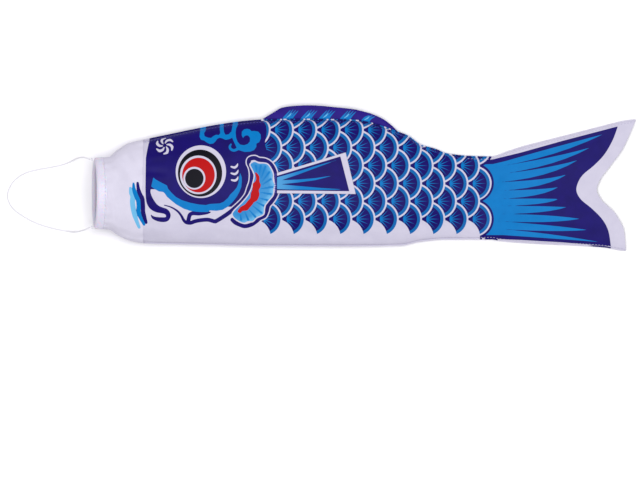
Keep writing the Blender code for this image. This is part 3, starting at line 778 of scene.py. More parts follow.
@dataclass(frozen=True)
class CarpPrint:
    """The picture on each side: head, gill, eye, clouds, scales and tail."""

    lip: Line = (
        (-279, -23.2), (-277.6, -33), (-273.4, -39.9), (-266.5, -44.1), (-258.1, -45.8), (-254.6, -46.9),
        (-253.3, -49), (-254.6, -50.7), (-265.1, -50.4), (-270, -49), (-272.7, -47.2), (-270.7, -52.5),
        (-263.7, -56), (-255.3, -56.9), (-249.8, -54.6), (-247.3, -49), (-248.4, -44.1), (-251.9, -40.2),
        (-258.1, -37.9), (-263.7, -35.1), (-268.6, -28.8), (-272, -21.8), (-273.2, -14.9), (-272, -7.9),
        (-270, 4), (-278, 6), (-279.3, -9),
    )  # fmt: skip
    head: Line = (
        (-275, 100), (-275, 48.5), (-277.6, 34), (-279, 25), (-279.3, -9), (-278.6, -22), (-274, -26),
        (-272.6, -14.9), (-267.2, -14.9), (-262.3, -17.7), (-256.7, -18.4), (-254.6, -20.4), (-251.9, -24.6),
        (-247, -28.8), (-240, -34.4), (-230.3, -39.9), (-221.9, -42.7), (-210.8, -44.1), (-199.6, -44.1),
        (-196.9, -42), (-188.5, -42.5), (-180.8, -41.3), (-173.9, -37.2), (-166, -37.5), (-158, -31), (-140, -20),
        (-127, 22), (-117, 25), (-121, 31), (-124.5, 36), (-126.2, 42), (-126.4, 46), (-125.2, 51.4),
        (-124.3, 59.2), (-125.2, 66.9), (-128.4, 75.2), (-132, 80), (-132, 104),
    )  # fmt: skip
    cheek: Line = (
        (-269.3, 0.4), (-266.5, -2.3), (-260.2, -5.8), (-253.9, -9), (-251.9, -10), (-250.5, -14.2),
        (-246.3, -19.1), (-240.7, -24.6), (-233.1, -28.8), (-221.9, -32.3), (-210.8, -34.4), (-202.4, -35.1),
        (-196.9, -33.7), (-184.3, -33), (-179.4, -30.9), (-173.9, -26), (-171.1, -21.8), (-166.2, -17),
        (-162.7, -12.8), (-160.7, -7.9), (-160, -3.7), (-159.3, 1.8), (-158.1, 6), (-156.2, 0.4), (-156.1, -5.1),
        (-156.8, -12.1), (-159.3, -18.4), (-162.7, -24.6), (-167.6, -30.9), (-173.9, -37.2), (-180.8, -41.3),
        (-188.5, -42.5), (-196.9, -42), (-199.6, -44.1), (-210.8, -44.1), (-221.9, -42.7), (-230.3, -39.9),
        (-240, -34.4), (-247, -28.8), (-251.9, -24.6), (-254.6, -20.4), (-256.7, -18.4), (-262.3, -17.7),
        (-267.2, -14.9), (-272, -11.4),
    )  # fmt: skip
    jaw: Line = (
        (-255.3, -35.3), (-248.4, -37.2), (-242.8, -39.9), (-237.2, -44.1), (-233.1, -49.7), (-231, -53.9),
        (-227.5, -57.4), (-221.9, -58), (-216.4, -56), (-209.4, -54.6), (-199.6, -53.9), (-191.3, -56),
        (-188.5, -55.3), (-181.5, -51.1), (-173.2, -45.5), (-166.2, -39.9), (-160.7, -35.1), (-155.1, -29.5),
        (-149.5, -21.8), (-146.7, -13.5), (-143.9, -5.1), (-143.2, 4.6), (-144.6, 13), (-147.1, 18.5),
        (-146.7, 22.7), (-143.9, 24.8), (-139.1, 25.2), (-134.2, 23), (-126.5, 22), (-120.3, 18.5), (-116.1, 13),
        (-113.3, 6), (-111.9, -1), (-110.9, -9.3), (-111.2, -17.7), (-114, -24.6), (-118.2, -30.9),
        (-122.4, -35.8), (-124.2, -42.7), (-127.2, -49), (-132.8, -51.8), (-137.7, -56), (-143.9, -60.1),
        (-152.3, -62.2), (-159.3, -60.1), (-164.8, -57.4), (-168.3, -53.9),
    )  # fmt: skip
    whisker: Line = (
        (-196.2, -44.1), (-201, -45.5), (-210.8, -46.2), (-219.1, -45.8), (-222.6, -47.6), (-224, -51.8),
        (-224.7, -55.3),
    )  # fmt: skip
    gill: Line = (
        (-145.3, 17.1), (-139.8, 20.6), (-134.2, 18.5), (-128.6, 18.5), (-123.1, 17.1), (-118.9, 11.6),
        (-116.1, 4.6), (-116.1, -3.7), (-114, -9.3), (-115.4, -14.9), (-116.1, -21.8), (-120.3, -27.4),
        (-123.7, -31.6), (-127.2, -37.2), (-127.9, -45.5), (-130.7, -48.3), (-137, -51.1), (-142.5, -56),
        (-148.1, -56), (-152.3, -58), (-156.5, -57.4), (-162, -54.6), (-166.2, -51.1), (-168.3, -46.9),
        (-166.2, -42.7), (-160.7, -37.2), (-155.1, -31.6), (-148.1, -23.2), (-143.9, -14.9), (-141.9, -7.9),
        (-139.8, 1.8), (-141.2, 7.4), (-143.2, 11.6),
    )  # fmt: skip
    streak: Line = (
        (-139.1, 6.7), (-135.6, 4.6), (-133.5, 0.4), (-133.5, -5.1), (-131.7, -10), (-134.2, -16.3),
        (-133.5, -21.8), (-136.3, -28.8), (-140.5, -31.6), (-142.5, -34.4), (-146.7, -39.2), (-149.5, -42),
        (-155.1, -42.7), (-157.9, -45.2), (-161.3, -44.1), (-160.7, -41.3), (-157.2, -37.2), (-152.3, -34.4),
        (-148.8, -30.2), (-145.3, -26), (-144.6, -20.4), (-142.5, -14.9), (-141.9, -7.9), (-139.1, -5.1),
        (-137.7, -1),
    )  # fmt: skip
    ruffles: Sequence[tuple[float, float, float, float]] = (
        (-138, 15, -137, 5), (-132, 15, -134, 4), (-126, 14, -131, 0), (-121, 7, -130, -5), (-119, -2, -130, -9),
        (-117, -12, -131, -14), (-119, -21, -132, -19), (-123, -29, -134, -26), (-128, -36, -138, -31),
        (-131, -45, -142, -36), (-139, -50, -147, -41), (-148, -54, -152, -44), (-157, -54, -158, -47),
    )  # fmt: skip
    # (ink, points, half widths) of the wave that runs over the collar and the front of the head
    waves: Sequence[tuple[Ink | None, Line, Sequence[float]]] = (
        (Ink.WHITE, ((-295.8, -9), (-295.2, -17), (-292.9, -25.5), (-290.2, -33), (-289.9, -46), (-286.5, -55.5),
                     (-283, -62)), (1.4, 1.8, 1.8, 1.4)),
        (Ink.PALE, ((-298.4, -13.5), (-297.4, -19), (-295.4, -24.6), (-295.8, -31.6), (-294.6, -41.3),
                    (-292.2, -51.1), (-287.6, -63.6)), (1.6, 3.0, 3.2, 3.2, 3.0, 1.8)),
        (Ink.SKY, ((-294.5, -7.6), (-293.9, -14.9), (-291.2, -23.2), (-288.6, -29.5), (-287.9, -36), (-288.1, -44.1),
                   (-285.7, -51.1), (-281.2, -60)), (1.3, 2.7, 2.8, 2.8, 2.7, 1.6)),
        (None, ((-289.3, -7), (-288.3, -14.9), (-286, -21.8), (-283.4, -27), (-282.6, -35.8), (-282.4, -44.1),
                (-280.6, -51.1), (-278.6, -57.6)), (1.6, 2.6, 2.8, 2.8, 2.8, 1.8)),
    )  # fmt: skip
    small_cloud: Line = (
        (-209.6, 103.7), (-209.8, 60.9), (-210.5, 52.6), (-208.6, 48.8), (-204.4, 47.6), (-201.3, 45.3),
        (-197.2, 43.2), (-193, 43.8), (-190.1, 46.4), (-187.7, 49.8), (-184.9, 51.4), (-181.8, 50.7),
        (-177, 48.5), (-172.3, 49.5), (-168.4, 51.4), (-166.6, 55), (-168.4, 58.6), (-170.7, 58.6),
        (-173.1, 55.6), (-177.3, 55.2), (-179.1, 58.6), (-179.7, 64.5), (-179.7, 103.7), (-184.9, 103.7),
        (-184.6, 61.5), (-183.8, 57.4), (-185.6, 54.8), (-189.2, 55.2), (-192.5, 53.6), (-195.6, 51.1),
        (-199.6, 51.4), (-203.9, 53.3), (-204.8, 57.4), (-202.8, 61.5), (-201.3, 103.7),
    )  # fmt: skip
    large_cloud: Line = (
        (-166.3, 103.7), (-168.4, 67.5), (-169.2, 61.5), (-170.1, 56.8), (-169, 52.6), (-167.2, 47.9),
        (-164.8, 42.9), (-162.8, 38.4), (-160.9, 35.8), (-157.7, 34.6), (-152.3, 33), (-145.2, 33.4),
        (-140.4, 35.4), (-137.5, 39.6), (-137.5, 43.7), (-133.9, 45.5), (-131.8, 50.2), (-132.1, 55.6),
        (-135.1, 59.2), (-139.9, 60), (-144, 59.8), (-145.8, 61.9), (-149.4, 63), (-153.5, 62.1),
        (-156.1, 59.2), (-156.4, 54.4), (-154.5, 50.7), (-153.3, 52.9), (-150.9, 54.4), (-148, 54.2),
        (-145.7, 51.2), (-145.9, 46.4), (-148.8, 43.1), (-153.5, 41.7), (-158.3, 42.5), (-161.6, 46.1),
        (-163.5, 51.4), (-164.2, 58.6), (-163.6, 63.3), (-161.6, 68.7), (-160.6, 103.7),
    )  # fmt: skip
    hook: Line = ((-170.1, 42.9), (-171.6, 39.8), (-170.1, 36.5), (-166, 35), (-161.8, 36.7))
    commas: Sequence[Line] = (
        ((-169.7, 14.1), (-165.5, 13), (-162.4, 15.2), (-161.3, 18.5)),
        ((-169.7, 5.7), (-165.1, 4.6), (-162, 6.8), (-160.7, 10.2)),
        ((-169.3, -3), (-164.8, -3.7), (-162, -1.6), (-160.9, 1.8)),
    )
    eye: Sequence[tuple[Ink, tuple[float, float], tuple[float, float]]] = (
        (Ink.WHITE, (-208.5, 7.7), (32.2, 33.8)),
        (Ink.BLACK, (-209.6, 5.9), (28.3, 30.1)),
        (Ink.WHITE, (-211.8, 3.6), (23.4, 24.8)),
        (Ink.RED, (-211.6, 3.3), (20.8, 22.2)),
        (Ink.WHITE, (-216.9, -0.7), (14.1, 14.6)),
        (Ink.BLACK, (-216.9, -1.0), (11.8, 12.3)),
    )
    pinwheel: tuple[float, float] = (-255.1, 41.6)
    tail_top: Line = ((120.5, 60), (150, 24.6), (164, 23.4), (201.6, 32.4), (255.7, 47.6))
    tail_rear: Line = (
        (327.3, 66.4), (320.6, 48.5), (309.8, 30), (296.3, 15.8), (282.7, 4.4), (276, -6), (274, -17), (280, -28),
        (293.5, -39.2), (307, -53), (315, -68), (318.4, -88.2),
    )  # fmt: skip
    tail_low: Line = ((255.7, -83.0), (201.6, -79.9), (157, -78.3), (141, -74), (120.5, -60))
    # Tips of the rays and of the gaps between them, each followed by the middle of the edge to the next tip
    rays: Line = (
        (182.7, 21.6), (242.2, 38.4), (308, 56), (244.9, 31.2), (175, 14.8), (239.5, 26.4), (291.5, 39),
        (242.2, 18.8), (180, 5.4), (234.1, 13.3), (276, 23), (231.4, 4.2), (172, -5.8), (228.7, -1.6), (262, 4.6),
        (225.9, -9.8), (175, -16.4), (223.2, -14.6), (250.5, -11.9), (220.5, -22.4), (172, -27), (220.5, -26.6),
        (251, -27.2), (223.2, -33.6), (172, -36.0), (225.9, -36.4), (261, -37.7), (225.9, -44.2), (172, -46.5),
        (231.4, -48.0), (278.5, -52.7), (231.4, -56.8), (170, -55.3), (236, -60.8), (288.5, -67.0),
        (236, -68.3), (170, -65.2), (236, -72.0), (303, -82.4), (228.7, -77.0), (180, -73.6),
    )  # fmt: skip
    # Centres of the last scales before the tail, whose rims make its front edge
    last_scales: Line = ((141.85, -6.6), (141.85, -52.9), (126.9, -29.7), (126.9, 15.8), (141.85, 38.4), (126.9, -75.8))
    scale_radius: float = 22.9
    scale_edge: float = 2.8  # how far the navy edge reaches past the last rims
    scales_from: float = -150.0  # the scales start here, under the head
    edge_from: float = 150.0  # the scales' navy edge shows from here on

    def paint(self, x: Array, y: Array) -> dict[str, Array]:
        """Prints the cloth.

        Args:
            x: places along the carp, in millimetres.
            y: places towards its back, in millimetres.

        Returns:
            Each ink's field and the places, by attribute name.
        """
        painter = Painter(x, y)
        self.paint_tail(painter)
        self.paint_head(painter)
        self.paint_gill(painter)
        for ink, middle, radii in self.eye:
            painter.oval(ink, middle, radii)
        self.paint_sky(painter)
        return painter.marks()

    def paint_tail(self, painter: Painter) -> None:
        """Navy with sky rays, and in front of it the scales with a navy line round their last rims.

        Each ray's edge is the parabola through its two tips and the middle between them.

        Args:
            painter: what it is painted on.
        """
        outline = [*self.tail_top, *rounded(self.tail_rear).tolist(), *self.tail_low]
        painter.area(None, outline, soft=False)
        tips = np.array(self.rays)
        start, middle, end = tips[:-2:2, None], tips[1:-1:2, None], tips[2::2, None]
        pull, t = 2 * middle - 0.5 * (start + end), np.linspace(0, 1, 7)[:-1, None]
        edges = ((1 - t) ** 2 * start + 2 * t * (1 - t) * pull + t * t * end).reshape(-1, 2)
        painter.area(Ink.SKY, [(140, 17), (166.5, 17.8), *edges.tolist(), tuple(tips[-1]), (140, -73.6)], soft=False)
        rims = [self.scale_radius - np.hypot(painter.x - cx, painter.y - cy) for cx, cy in self.last_scales]
        scales = np.maximum.reduce([self.last_scales[0][0] - painter.x, *rims])
        scales = np.minimum(scales, painter.x - self.scales_from)
        printed = np.where(painter.x < self.edge_from, -FAR, scales + self.scale_edge)
        painter.lay(None, np.maximum(printed, -FAR))
        painter.lay(Ink.SCALES, scales)

    def paint_waves(self, painter: Painter) -> None:
        """The pale, sky and navy wave beside the mouth."""
        for ink, line, widths in self.waves:
            painter.stroke(ink, line, widths)

    def paint_head(self, painter: Painter) -> None:
        """The wave, the navy head, its lip, and the sky cheek band."""
        self.paint_waves(painter)
        painter.area(None, self.head, soft=False)
        painter.area(None, self.lip)
        painter.area(Ink.SKY, self.cheek, soft=False)

    def paint_gill(self, painter: Painter) -> None:
        """The jaw line and gill ring in navy between white lines, the ruffled gill, and its red streak.

        Args:
            painter: what it is painted on.
        """
        painter.area(Ink.WHITE, ((-165, -50), (-135.5, -52), (-135.5, -84), (-165, -84)), soft=False)
        painter.stroke(Ink.WHITE, self.jaw[14:], (2.6,), grow=1.5)
        painter.stroke(None, self.jaw, (0.6, 2.5, 2.7, 2.7, 2.6, 2.6, 2.6))
        painter.stroke(None, self.whisker, (0.6, 2.3, 2.6, 2.6))
        painter.stroke(Ink.WHITE, ((-216.4, -52), (-202, -49.8), (-191, -50.5)), (0.2, 1.3, 0.2))
        painter.area(Ink.WHITE, self.gill, grow=1.2)
        painter.area(Ink.SKY, self.gill, grow=-0.4)
        # The gill's ink fades towards its rear and lower rim
        gill_side = painter.x > 0.68 * np.minimum(0, painter.y + 14) - 151.5
        inside = np.clip(painter.fields[Ink.SKY], 0, FAR) * (np.hypot(painter.x + 140, painter.y + 20) < 50) * gill_side
        rear = smooth_step(painter.x - 0.55 * painter.y, -142, -112)
        painter.wash = np.where(inside > 0, np.clip(1.0 - inside / 9, 0, 1) * (0.3 + 0.7 * rear), 0)
        for x0, y0, x1, y1 in self.ruffles:
            near, away, share = painter.distances(np.array([(x0, y0), (x1, y1)], float), False)
            painter.wash[near] *= smooth_step(away[:, 0] - 1.1 * (1 - share[:, 0]), 0.0, 0.7)
        painter.area(Ink.RED, self.streak)

    def paint_sky(self, painter: Painter) -> None:
        """The clouds, the hook under the larger one, the three commas and the pinwheel."""
        painter.area(Ink.SKY, self.small_cloud, soft=False)
        painter.area(Ink.SKY, self.large_cloud, soft=False)
        painter.stroke(Ink.SKY, self.hook, (1.0, 1.6, 1.7, 1.8))
        for comma in self.commas:
            painter.stroke(Ink.WHITE, comma, (1.0, 1.5, 1.3, 0.3))
        turns = np.arange(6) * math.pi / 3 + 0.3
        for turn in turns.tolist():
            reach = np.array([2.8, 6.6, 9.8, 11.2])
            bend = turn - np.array([0.0, 0.2, 0.52, 0.92])
            blade = np.stack([self.pinwheel[0] + reach * np.cos(bend), self.pinwheel[1] + reach * np.sin(bend)], -1)
            painter.stroke(Ink.WHITE, [tuple(p) for p in blade.tolist()], (0.6, 1.5, 1.7, 0.7))


# ---------------------------------------------------------------- the carp's form


@dataclass
class CarpForm:
    """The outline and thickness of the blown-up tube, and the surfaces that follow from them."""

    length: float = 700 * MM
    mouth_width: float = 92 * MM
    mouth_height: float = 69 * MM
    mouth_middle: float = -20 * MM
    mouth_lean: float = math.tan(math.radians(7.5))
    collar_end: float = 67 * MM
    casing_length: float = 12 * MM
    notch: float = 50 * MM
    lobe_inset: float = 12.5 * MM
    seam_height: float = 1.6 * MM
    flat_share: float = 0.6
    fin_room: float = 1.5 * MM
    back: SmoothCurve = field(init=False)
    belly: SmoothCurve = field(init=False)
    thickness: SmoothCurve = field(init=False)
    seam_share: SmoothCurve = field(init=False)
    lift: SmoothCurve = field(init=False)
    notch_share: SmoothCurve = field(init=False)

    def __post_init__(self) -> None:
        """Works out the curves from the stations along the carp."""
        rim, end = self.rim_along(), self.length
        mouth_top = (rim, self.mouth_middle + 0.5 * self.mouth_width)
        mouth_low = (rim, self.mouth_middle - 0.5 * self.mouth_width)
        flare = ((0.05, 0.0), (0.28, 0.02), (0.49, 0.43), (0.73, 0.82))
        collar, crest = (self.collar_end, 49 * MM), (265 * MM, 76 * MM)
        waist, lobe = (514 * MM, 27.5 * MM), (end, 75 * MM)
        fall = (
            (0.281, 0.021), (0.365, 0.082), (0.438, 0.186), (0.514, 0.33), (0.574, 0.454), (0.635, 0.68),
            (0.714, 0.80), (0.771, 0.917), (0.892, 0.986),
        )  # fmt: skip
        upper_lobe = ((0.118, 0.143), (0.226, 0.278), (0.392, 0.446), (0.613, 0.663), (0.78, 0.832), (0.946, 0.98))
        self.back = SmoothCurve(
            [mouth_top, *between(mouth_top, collar, flare), collar, *between(collar, crest, ((0.78, 0.96),)), crest]
            + [*between(crest, waist, fall), waist, *between(waist, lobe, upper_lobe), lobe]
        )
        collar, lowest, waist = (self.collar_end, -84 * MM), (335 * MM, -88 * MM), (514 * MM, -79 * MM)
        lobe = (end - self.lobe_inset, -93.5 * MM)
        sag, climb = ((0.29, 0.50), (0.61, 0.90)), ((0.35, 0.11), (0.486, 0.667), (0.67, 1.0))
        lower_lobe = ((0.063, 0.124), (0.127, 0.207), (0.242, 0.317), (0.42, 0.43), (0.6, 0.525), (0.836, 0.703))
        self.belly = SmoothCurve(
            [mouth_low, *between(mouth_low, collar, flare), collar, *between(collar, lowest, sag), lowest]
            + [*between(lowest, waist, climb), waist, *between(waist, lobe, lower_lobe), lobe, (end, lobe[1])]
        )
        collar, waist = (self.collar_end, 52 * MM), (514 * MM, 10 * MM)
        thin = ((0.10, 0.17), (0.36, 0.34), (0.57, 0.44), (0.77, 0.64), (0.88, 0.83))
        tail = (524 * MM + 0.3 * (end - 524 * MM), 7 * MM)
        self.thickness = SmoothCurve(
            [(0.0, self.mouth_height), (self.casing_end(), self.mouth_height), collar]
            + [*between(collar, waist, thin), waist, tail, (end, 7 * MM)]
        )
        upright = [(0.0, 0.5), (self.casing_end(), 0.5)]
        self.seam_share = SmoothCurve(
            [*upright, (self.collar_end, 0.32), (441 * MM, 0.32), (524 * MM, 0.5), (end, 0.5)]
        )
        room = self.fin_room
        self.lift = SmoothCurve(
            [(0.0, 0.0), (179 * MM, 0.0), (233.4 * MM, room), (340.8 * MM, room), (376.8 * MM, 0.0), (end, 0.0)]
        )
        edge = (
            (0.585, 0.33), (0.335, 0.65), (0.1, 0.93), (-0.04, 1.0), (-0.22, 0.88), (-0.448, 0.52), (-0.71, 0.30),
        )  # fmt: skip
        self.notch_share = SmoothCurve([(1.0, 0.0), *edge, (-1.0, self.lobe_inset / self.notch)])

    def rim_along(self) -> float:
        """The middle of the hoop is this far behind its lowest point, because it leans."""
        return 0.5 * self.mouth_height * self.mouth_lean

    def casing_end(self) -> float:
        """Where the hoop's casing ends and the collar begins."""
        return self.rim_along() + self.casing_length

    def rear_edge(self, turn: Array) -> Array:
        """The tail's trailing edge: the length less the notch at that place across the tail."""
        return self.length - self.notch * self.notch_share(np.cos(math.pi * turn))

    def seam_level(self, along: Array) -> Array:
        """Height of the side seams over the table."""
        return self.lift(along) + self.seam_share(along) * self.thickness(along)

    def panel(self, along: Array, turn: Array, side: Side) -> Array:
        """A printed side.

        Args:
            along: places along the carp.
            turn: places across it, of the same shape.
            side: which side.

        Returns:
            Points whose rise is middle + reach cos(pi turn). The left side's height over the seams goes with
            sin(pi turn), and the right side's depth with the same sine up to where it lies flat.
        """
        top, low = self.back(along) - self.seam_height, self.belly(along) + self.seam_height
        rise = 0.5 * (top + low) + 0.5 * (top - low) * np.cos(math.pi * turn)
        bow, level, deep = np.sin(math.pi * turn), self.seam_level(along), self.thickness(along)
        below = self.seam_share(along) * deep
        if side is Side.LEFT:
            height = level + 0.3 * MM + (deep - below - 0.3 * MM) * bow
        else:
            flat = np.minimum(1.0, np.tanh(1.6 * bow / self.flat_share) / 0.92)
            height = level - 0.3 * MM - (below - 0.35 * MM) * flat
        return np.stack([along - 0.5 * self.length, rise, height], -1)

    def on_flank(self, along: Array, rise: Array, side: Side, clear: float) -> Array:
        """Points at a rise on the outside of a printed side, standing clear of it by a distance in height."""
        top, low = self.back(along) - self.seam_height, self.belly(along) + self.seam_height
        share = np.clip((rise - 0.5 * (top + low)) / (0.5 * (top - low)), -1, 1)
        points = self.panel(along, np.arccos(share) / math.pi, side)
        points[..., 2] += side.value * clear
        return points

    def lean(self, points: Array, along: Array) -> Array:
        """Shears points with the hoop: x += lean (height - middle) (1 - share of the way to the collar's end)."""
        upright = smooth_step(along, self.casing_end(), self.collar_end)
        points[..., 0] += self.mouth_lean * (points[..., 2] - 0.5 * self.mouth_height) * (1 - upright)
        return points


@dataclass(frozen=True)
class Creases:
    """Soft folds in the cloth: (x, y) of both ends in millimetres, half width, and height, negative for a dip."""

    folds: Sequence[tuple[float, float, float, float, float, float]] = (
        (-284, 40, -262, 44, 5, -0.9), (-284, 26, -250, 31, 6, 0.8), (-284, 8, -256, 6, 5, -0.8),
        (-284, -22, -258, -26, 5, 0.8), (-284, -40, -248, -52, 6, -1.1), (-286, -62, -250, -70, 6, 1.0),
        (-286, -76, -262, -80, 4, -0.9), (-250, 56, -200, 66, 8, 0.9), (-236, 42, -180, 40, 10, -0.7),
        (-200, -60, -150, -74, 9, 1.0), (-190, -72, -120, -80, 7, -0.8), (-110, 58, -40, 64, 9, -0.8),
        (-100, -46, -20, -58, 12, 0.9), (-80, -70, 10, -78, 8, -0.9), (-10, 52, 60, 40, 10, 0.9),
        (0, 30, 80, 20, 14, -0.8), (20, -40, 100, -44, 12, 0.9), (60, 40, 130, 20, 8, -0.9),
        (70, -60, 150, -56, 9, -0.9), (110, 8, 170, -6, 8, 0.7), (120, -20, 190, -24, 9, -0.7),
        (150, -40, 240, -46, 10, 0.5), (170, 6, 260, 24, 9, 0.5), (200, -62, 300, -72, 8, -0.45),
        (210, 30, 310, 54, 7, -0.45), (180, -20, 260, -16, 9, 0.4), (-332, -14, -318, -60, 4, -1.0),
        (-318, 44, -296, 18, 5, 0.8), (-322, -66, -292, -78, 4, -1.0), (-300, -30, -288, -66, 5, 0.7),
        (-338, 22, -318, 6, 5, 0.7), (-316, 20, -292, -8, 6, -0.7),
    )  # fmt: skip

    def height(self, x: Array, y: Array) -> Array:
        """How far the folds lift the cloth.

        Args:
            x: places along the carp, in millimetres.
            y: places towards its back, in millimetres.

        Returns:
            Metres: for each fold, its height times exp(-(distance/half width)²), with ends that fade.
        """
        total = np.zeros(x.shape)
        for x0, y0, x1, y1, half, high in self.folds:
            way = np.array([x1 - x0, y1 - y0])
            share = ((x - x0) * way[0] + (y - y0) * way[1]) / (way**2).sum()
            away = np.hypot(x - x0 - np.clip(share, 0, 1) * way[0], y - y0 - np.clip(share, 0, 1) * way[1])
            total += 1.5 * high * np.exp(-((away / half) ** 2)) * (0.55 + 0.45 * np.sin(math.pi * np.clip(share, 0, 1)))
        return total * MM


# ---------------------------------------------------------------- sub-assemblies


@dataclass
class PrintedSides:
    """Both printed sides, each one cloth in two meshes that meet at the join."""

    form: CarpForm
    art: CarpPrint
    creases: Creases
    look: bpy.types.Material
    start: float = 66.6 * MM
    head_end: float = 245 * MM
    join: float = 482 * MM  # between the carp's two hinges, where the front mesh meets the rear one
    rows: int = 233
    columns: tuple[int, int, int] = (206, 90, 160)  # to head_end, to the join, and in the tail
    edges: dict[str, tuple[Array, Array]] = field(default_factory=dict)

    def print_rise(self, points: Array, turn: Array) -> Array:
        """Where each point is across the print.

        Args:
            points: a side's points, rows from the back seam to the belly seam.
            turn: their places across it.

        Returns:
            Millimetres: the rise itself over the middle, and the length along the cloth near the seams,
            where it turns away.
        """
        drop = -np.diff(points[..., 1], axis=0)
        run = np.linalg.norm(np.diff(points[..., 1:], axis=0), axis=-1)
        middle = np.cos(math.pi * 0.5 * (turn[1:] + turn[:-1]))
        steep = smooth_step(np.abs(middle), 0.86, 0.96)
        step = (1 - steep) * drop + steep * run
        down = np.concatenate([np.zeros((1, points.shape[1])), np.cumsum(step, axis=0)])
        centre = points.shape[0] // 2
        return (points[centre, :, 1] + down[centre] - down) / MM

    def build_cloth(self, name: str, side: Side, along: Array, turn: Array) -> tuple[bpy.types.Object, Array]:
        """One mesh of a side.

        Args:
            name: its name.
            side: which side.
            along: places along the carp.
            turn: places across it.

        Returns:
            The piece, and its points.
        """
        points = self.form.panel(along, turn, side)
        rise = self.print_rise(points, turn)
        x = points[..., 0] / MM
        fade = np.clip(np.sin(math.pi * turn) * 1.6, 0, 1)
        if side is Side.LEFT:
            under_fin = self.under_fin(x, points[..., 1] / MM)
            points[..., 2] += self.creases.height(x, rise) * fade * (1 - under_fin)
        else:
            # The cloth that rests on the table only has folds that lift off it
            points[..., 2] += 0.35 * np.maximum(self.creases.height(x, -rise), 0) * fade
        marks = self.art.paint(x, rise)
        edge = np.minimum(turn, 1 - turn)
        marks["from_seam"] = edge
        if side is Side.LEFT:
            self.edges[name] = (x[0], np.stack([rise[0], rise[-1]]))
        faces = grid_faces(*along.shape, flip=side is Side.RIGHT)
        return make_piece(name, points, faces, self.look, marks), points

    def under_fin(self, x: Array, y: Array) -> Array:
        """1 where the left pectoral fin lies, fading out round it, so that no fold pokes through the fin."""
        inside = np.minimum.reduce([x + 118, -3 - x, y + 28, 40 - y])
        return smooth_step(inside, -8, 4)

    def build(self) -> list[bpy.types.Object]:
        """Both sides.

        Returns:
            The four meshes.
        """
        form, pieces = self.form, []
        turn = np.linspace(0, 1, self.rows)[:, None]
        head, flank, tail = self.columns
        fine, coarse = np.linspace(self.start, self.head_end, head), np.linspace(self.head_end, self.join, flank)
        front, share = np.concatenate([fine, coarse[1:]]), np.linspace(0, 1, tail)[None]
        for side in Side:
            word = side.name.lower()
            along = np.broadcast_to(front, (self.rows, len(front)))
            wide = np.broadcast_to(turn, along.shape)
            cloth, points = self.build_cloth(f"{word}_printed_flank", side, along, wide)
            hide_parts(f"{word}_flank_panel")
            self.finish_piece(cloth)
            along = self.join + share * (form.rear_edge(turn) - self.join)
            wide = np.broadcast_to(turn, along.shape)
            rear, points = self.build_cloth(f"{word}_printed_tail", side, along, wide)
            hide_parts(f"{word}_rear_panel", f"{word}_tail_panel")
            self.finish_piece(rear)
            pieces += [cloth, rear]
        return pieces

    def finish_piece(self, piece: bpy.types.Object) -> None:
        """Args:
            piece: the mesh.
        """
        bend_at_hinge(piece)

    def edge_print(self, x: Array, at_belly: bool) -> Array:
        """The print's place across the cloth at a seam, interpolated along x in millimetres."""
        places = np.concatenate([place for place, _ in self.edges.values()])
        values = np.concatenate([ends[int(at_belly)] for _, ends in self.edges.values()])
        order = np.argsort(places)
        return np.interp(x, places[order], values[order])


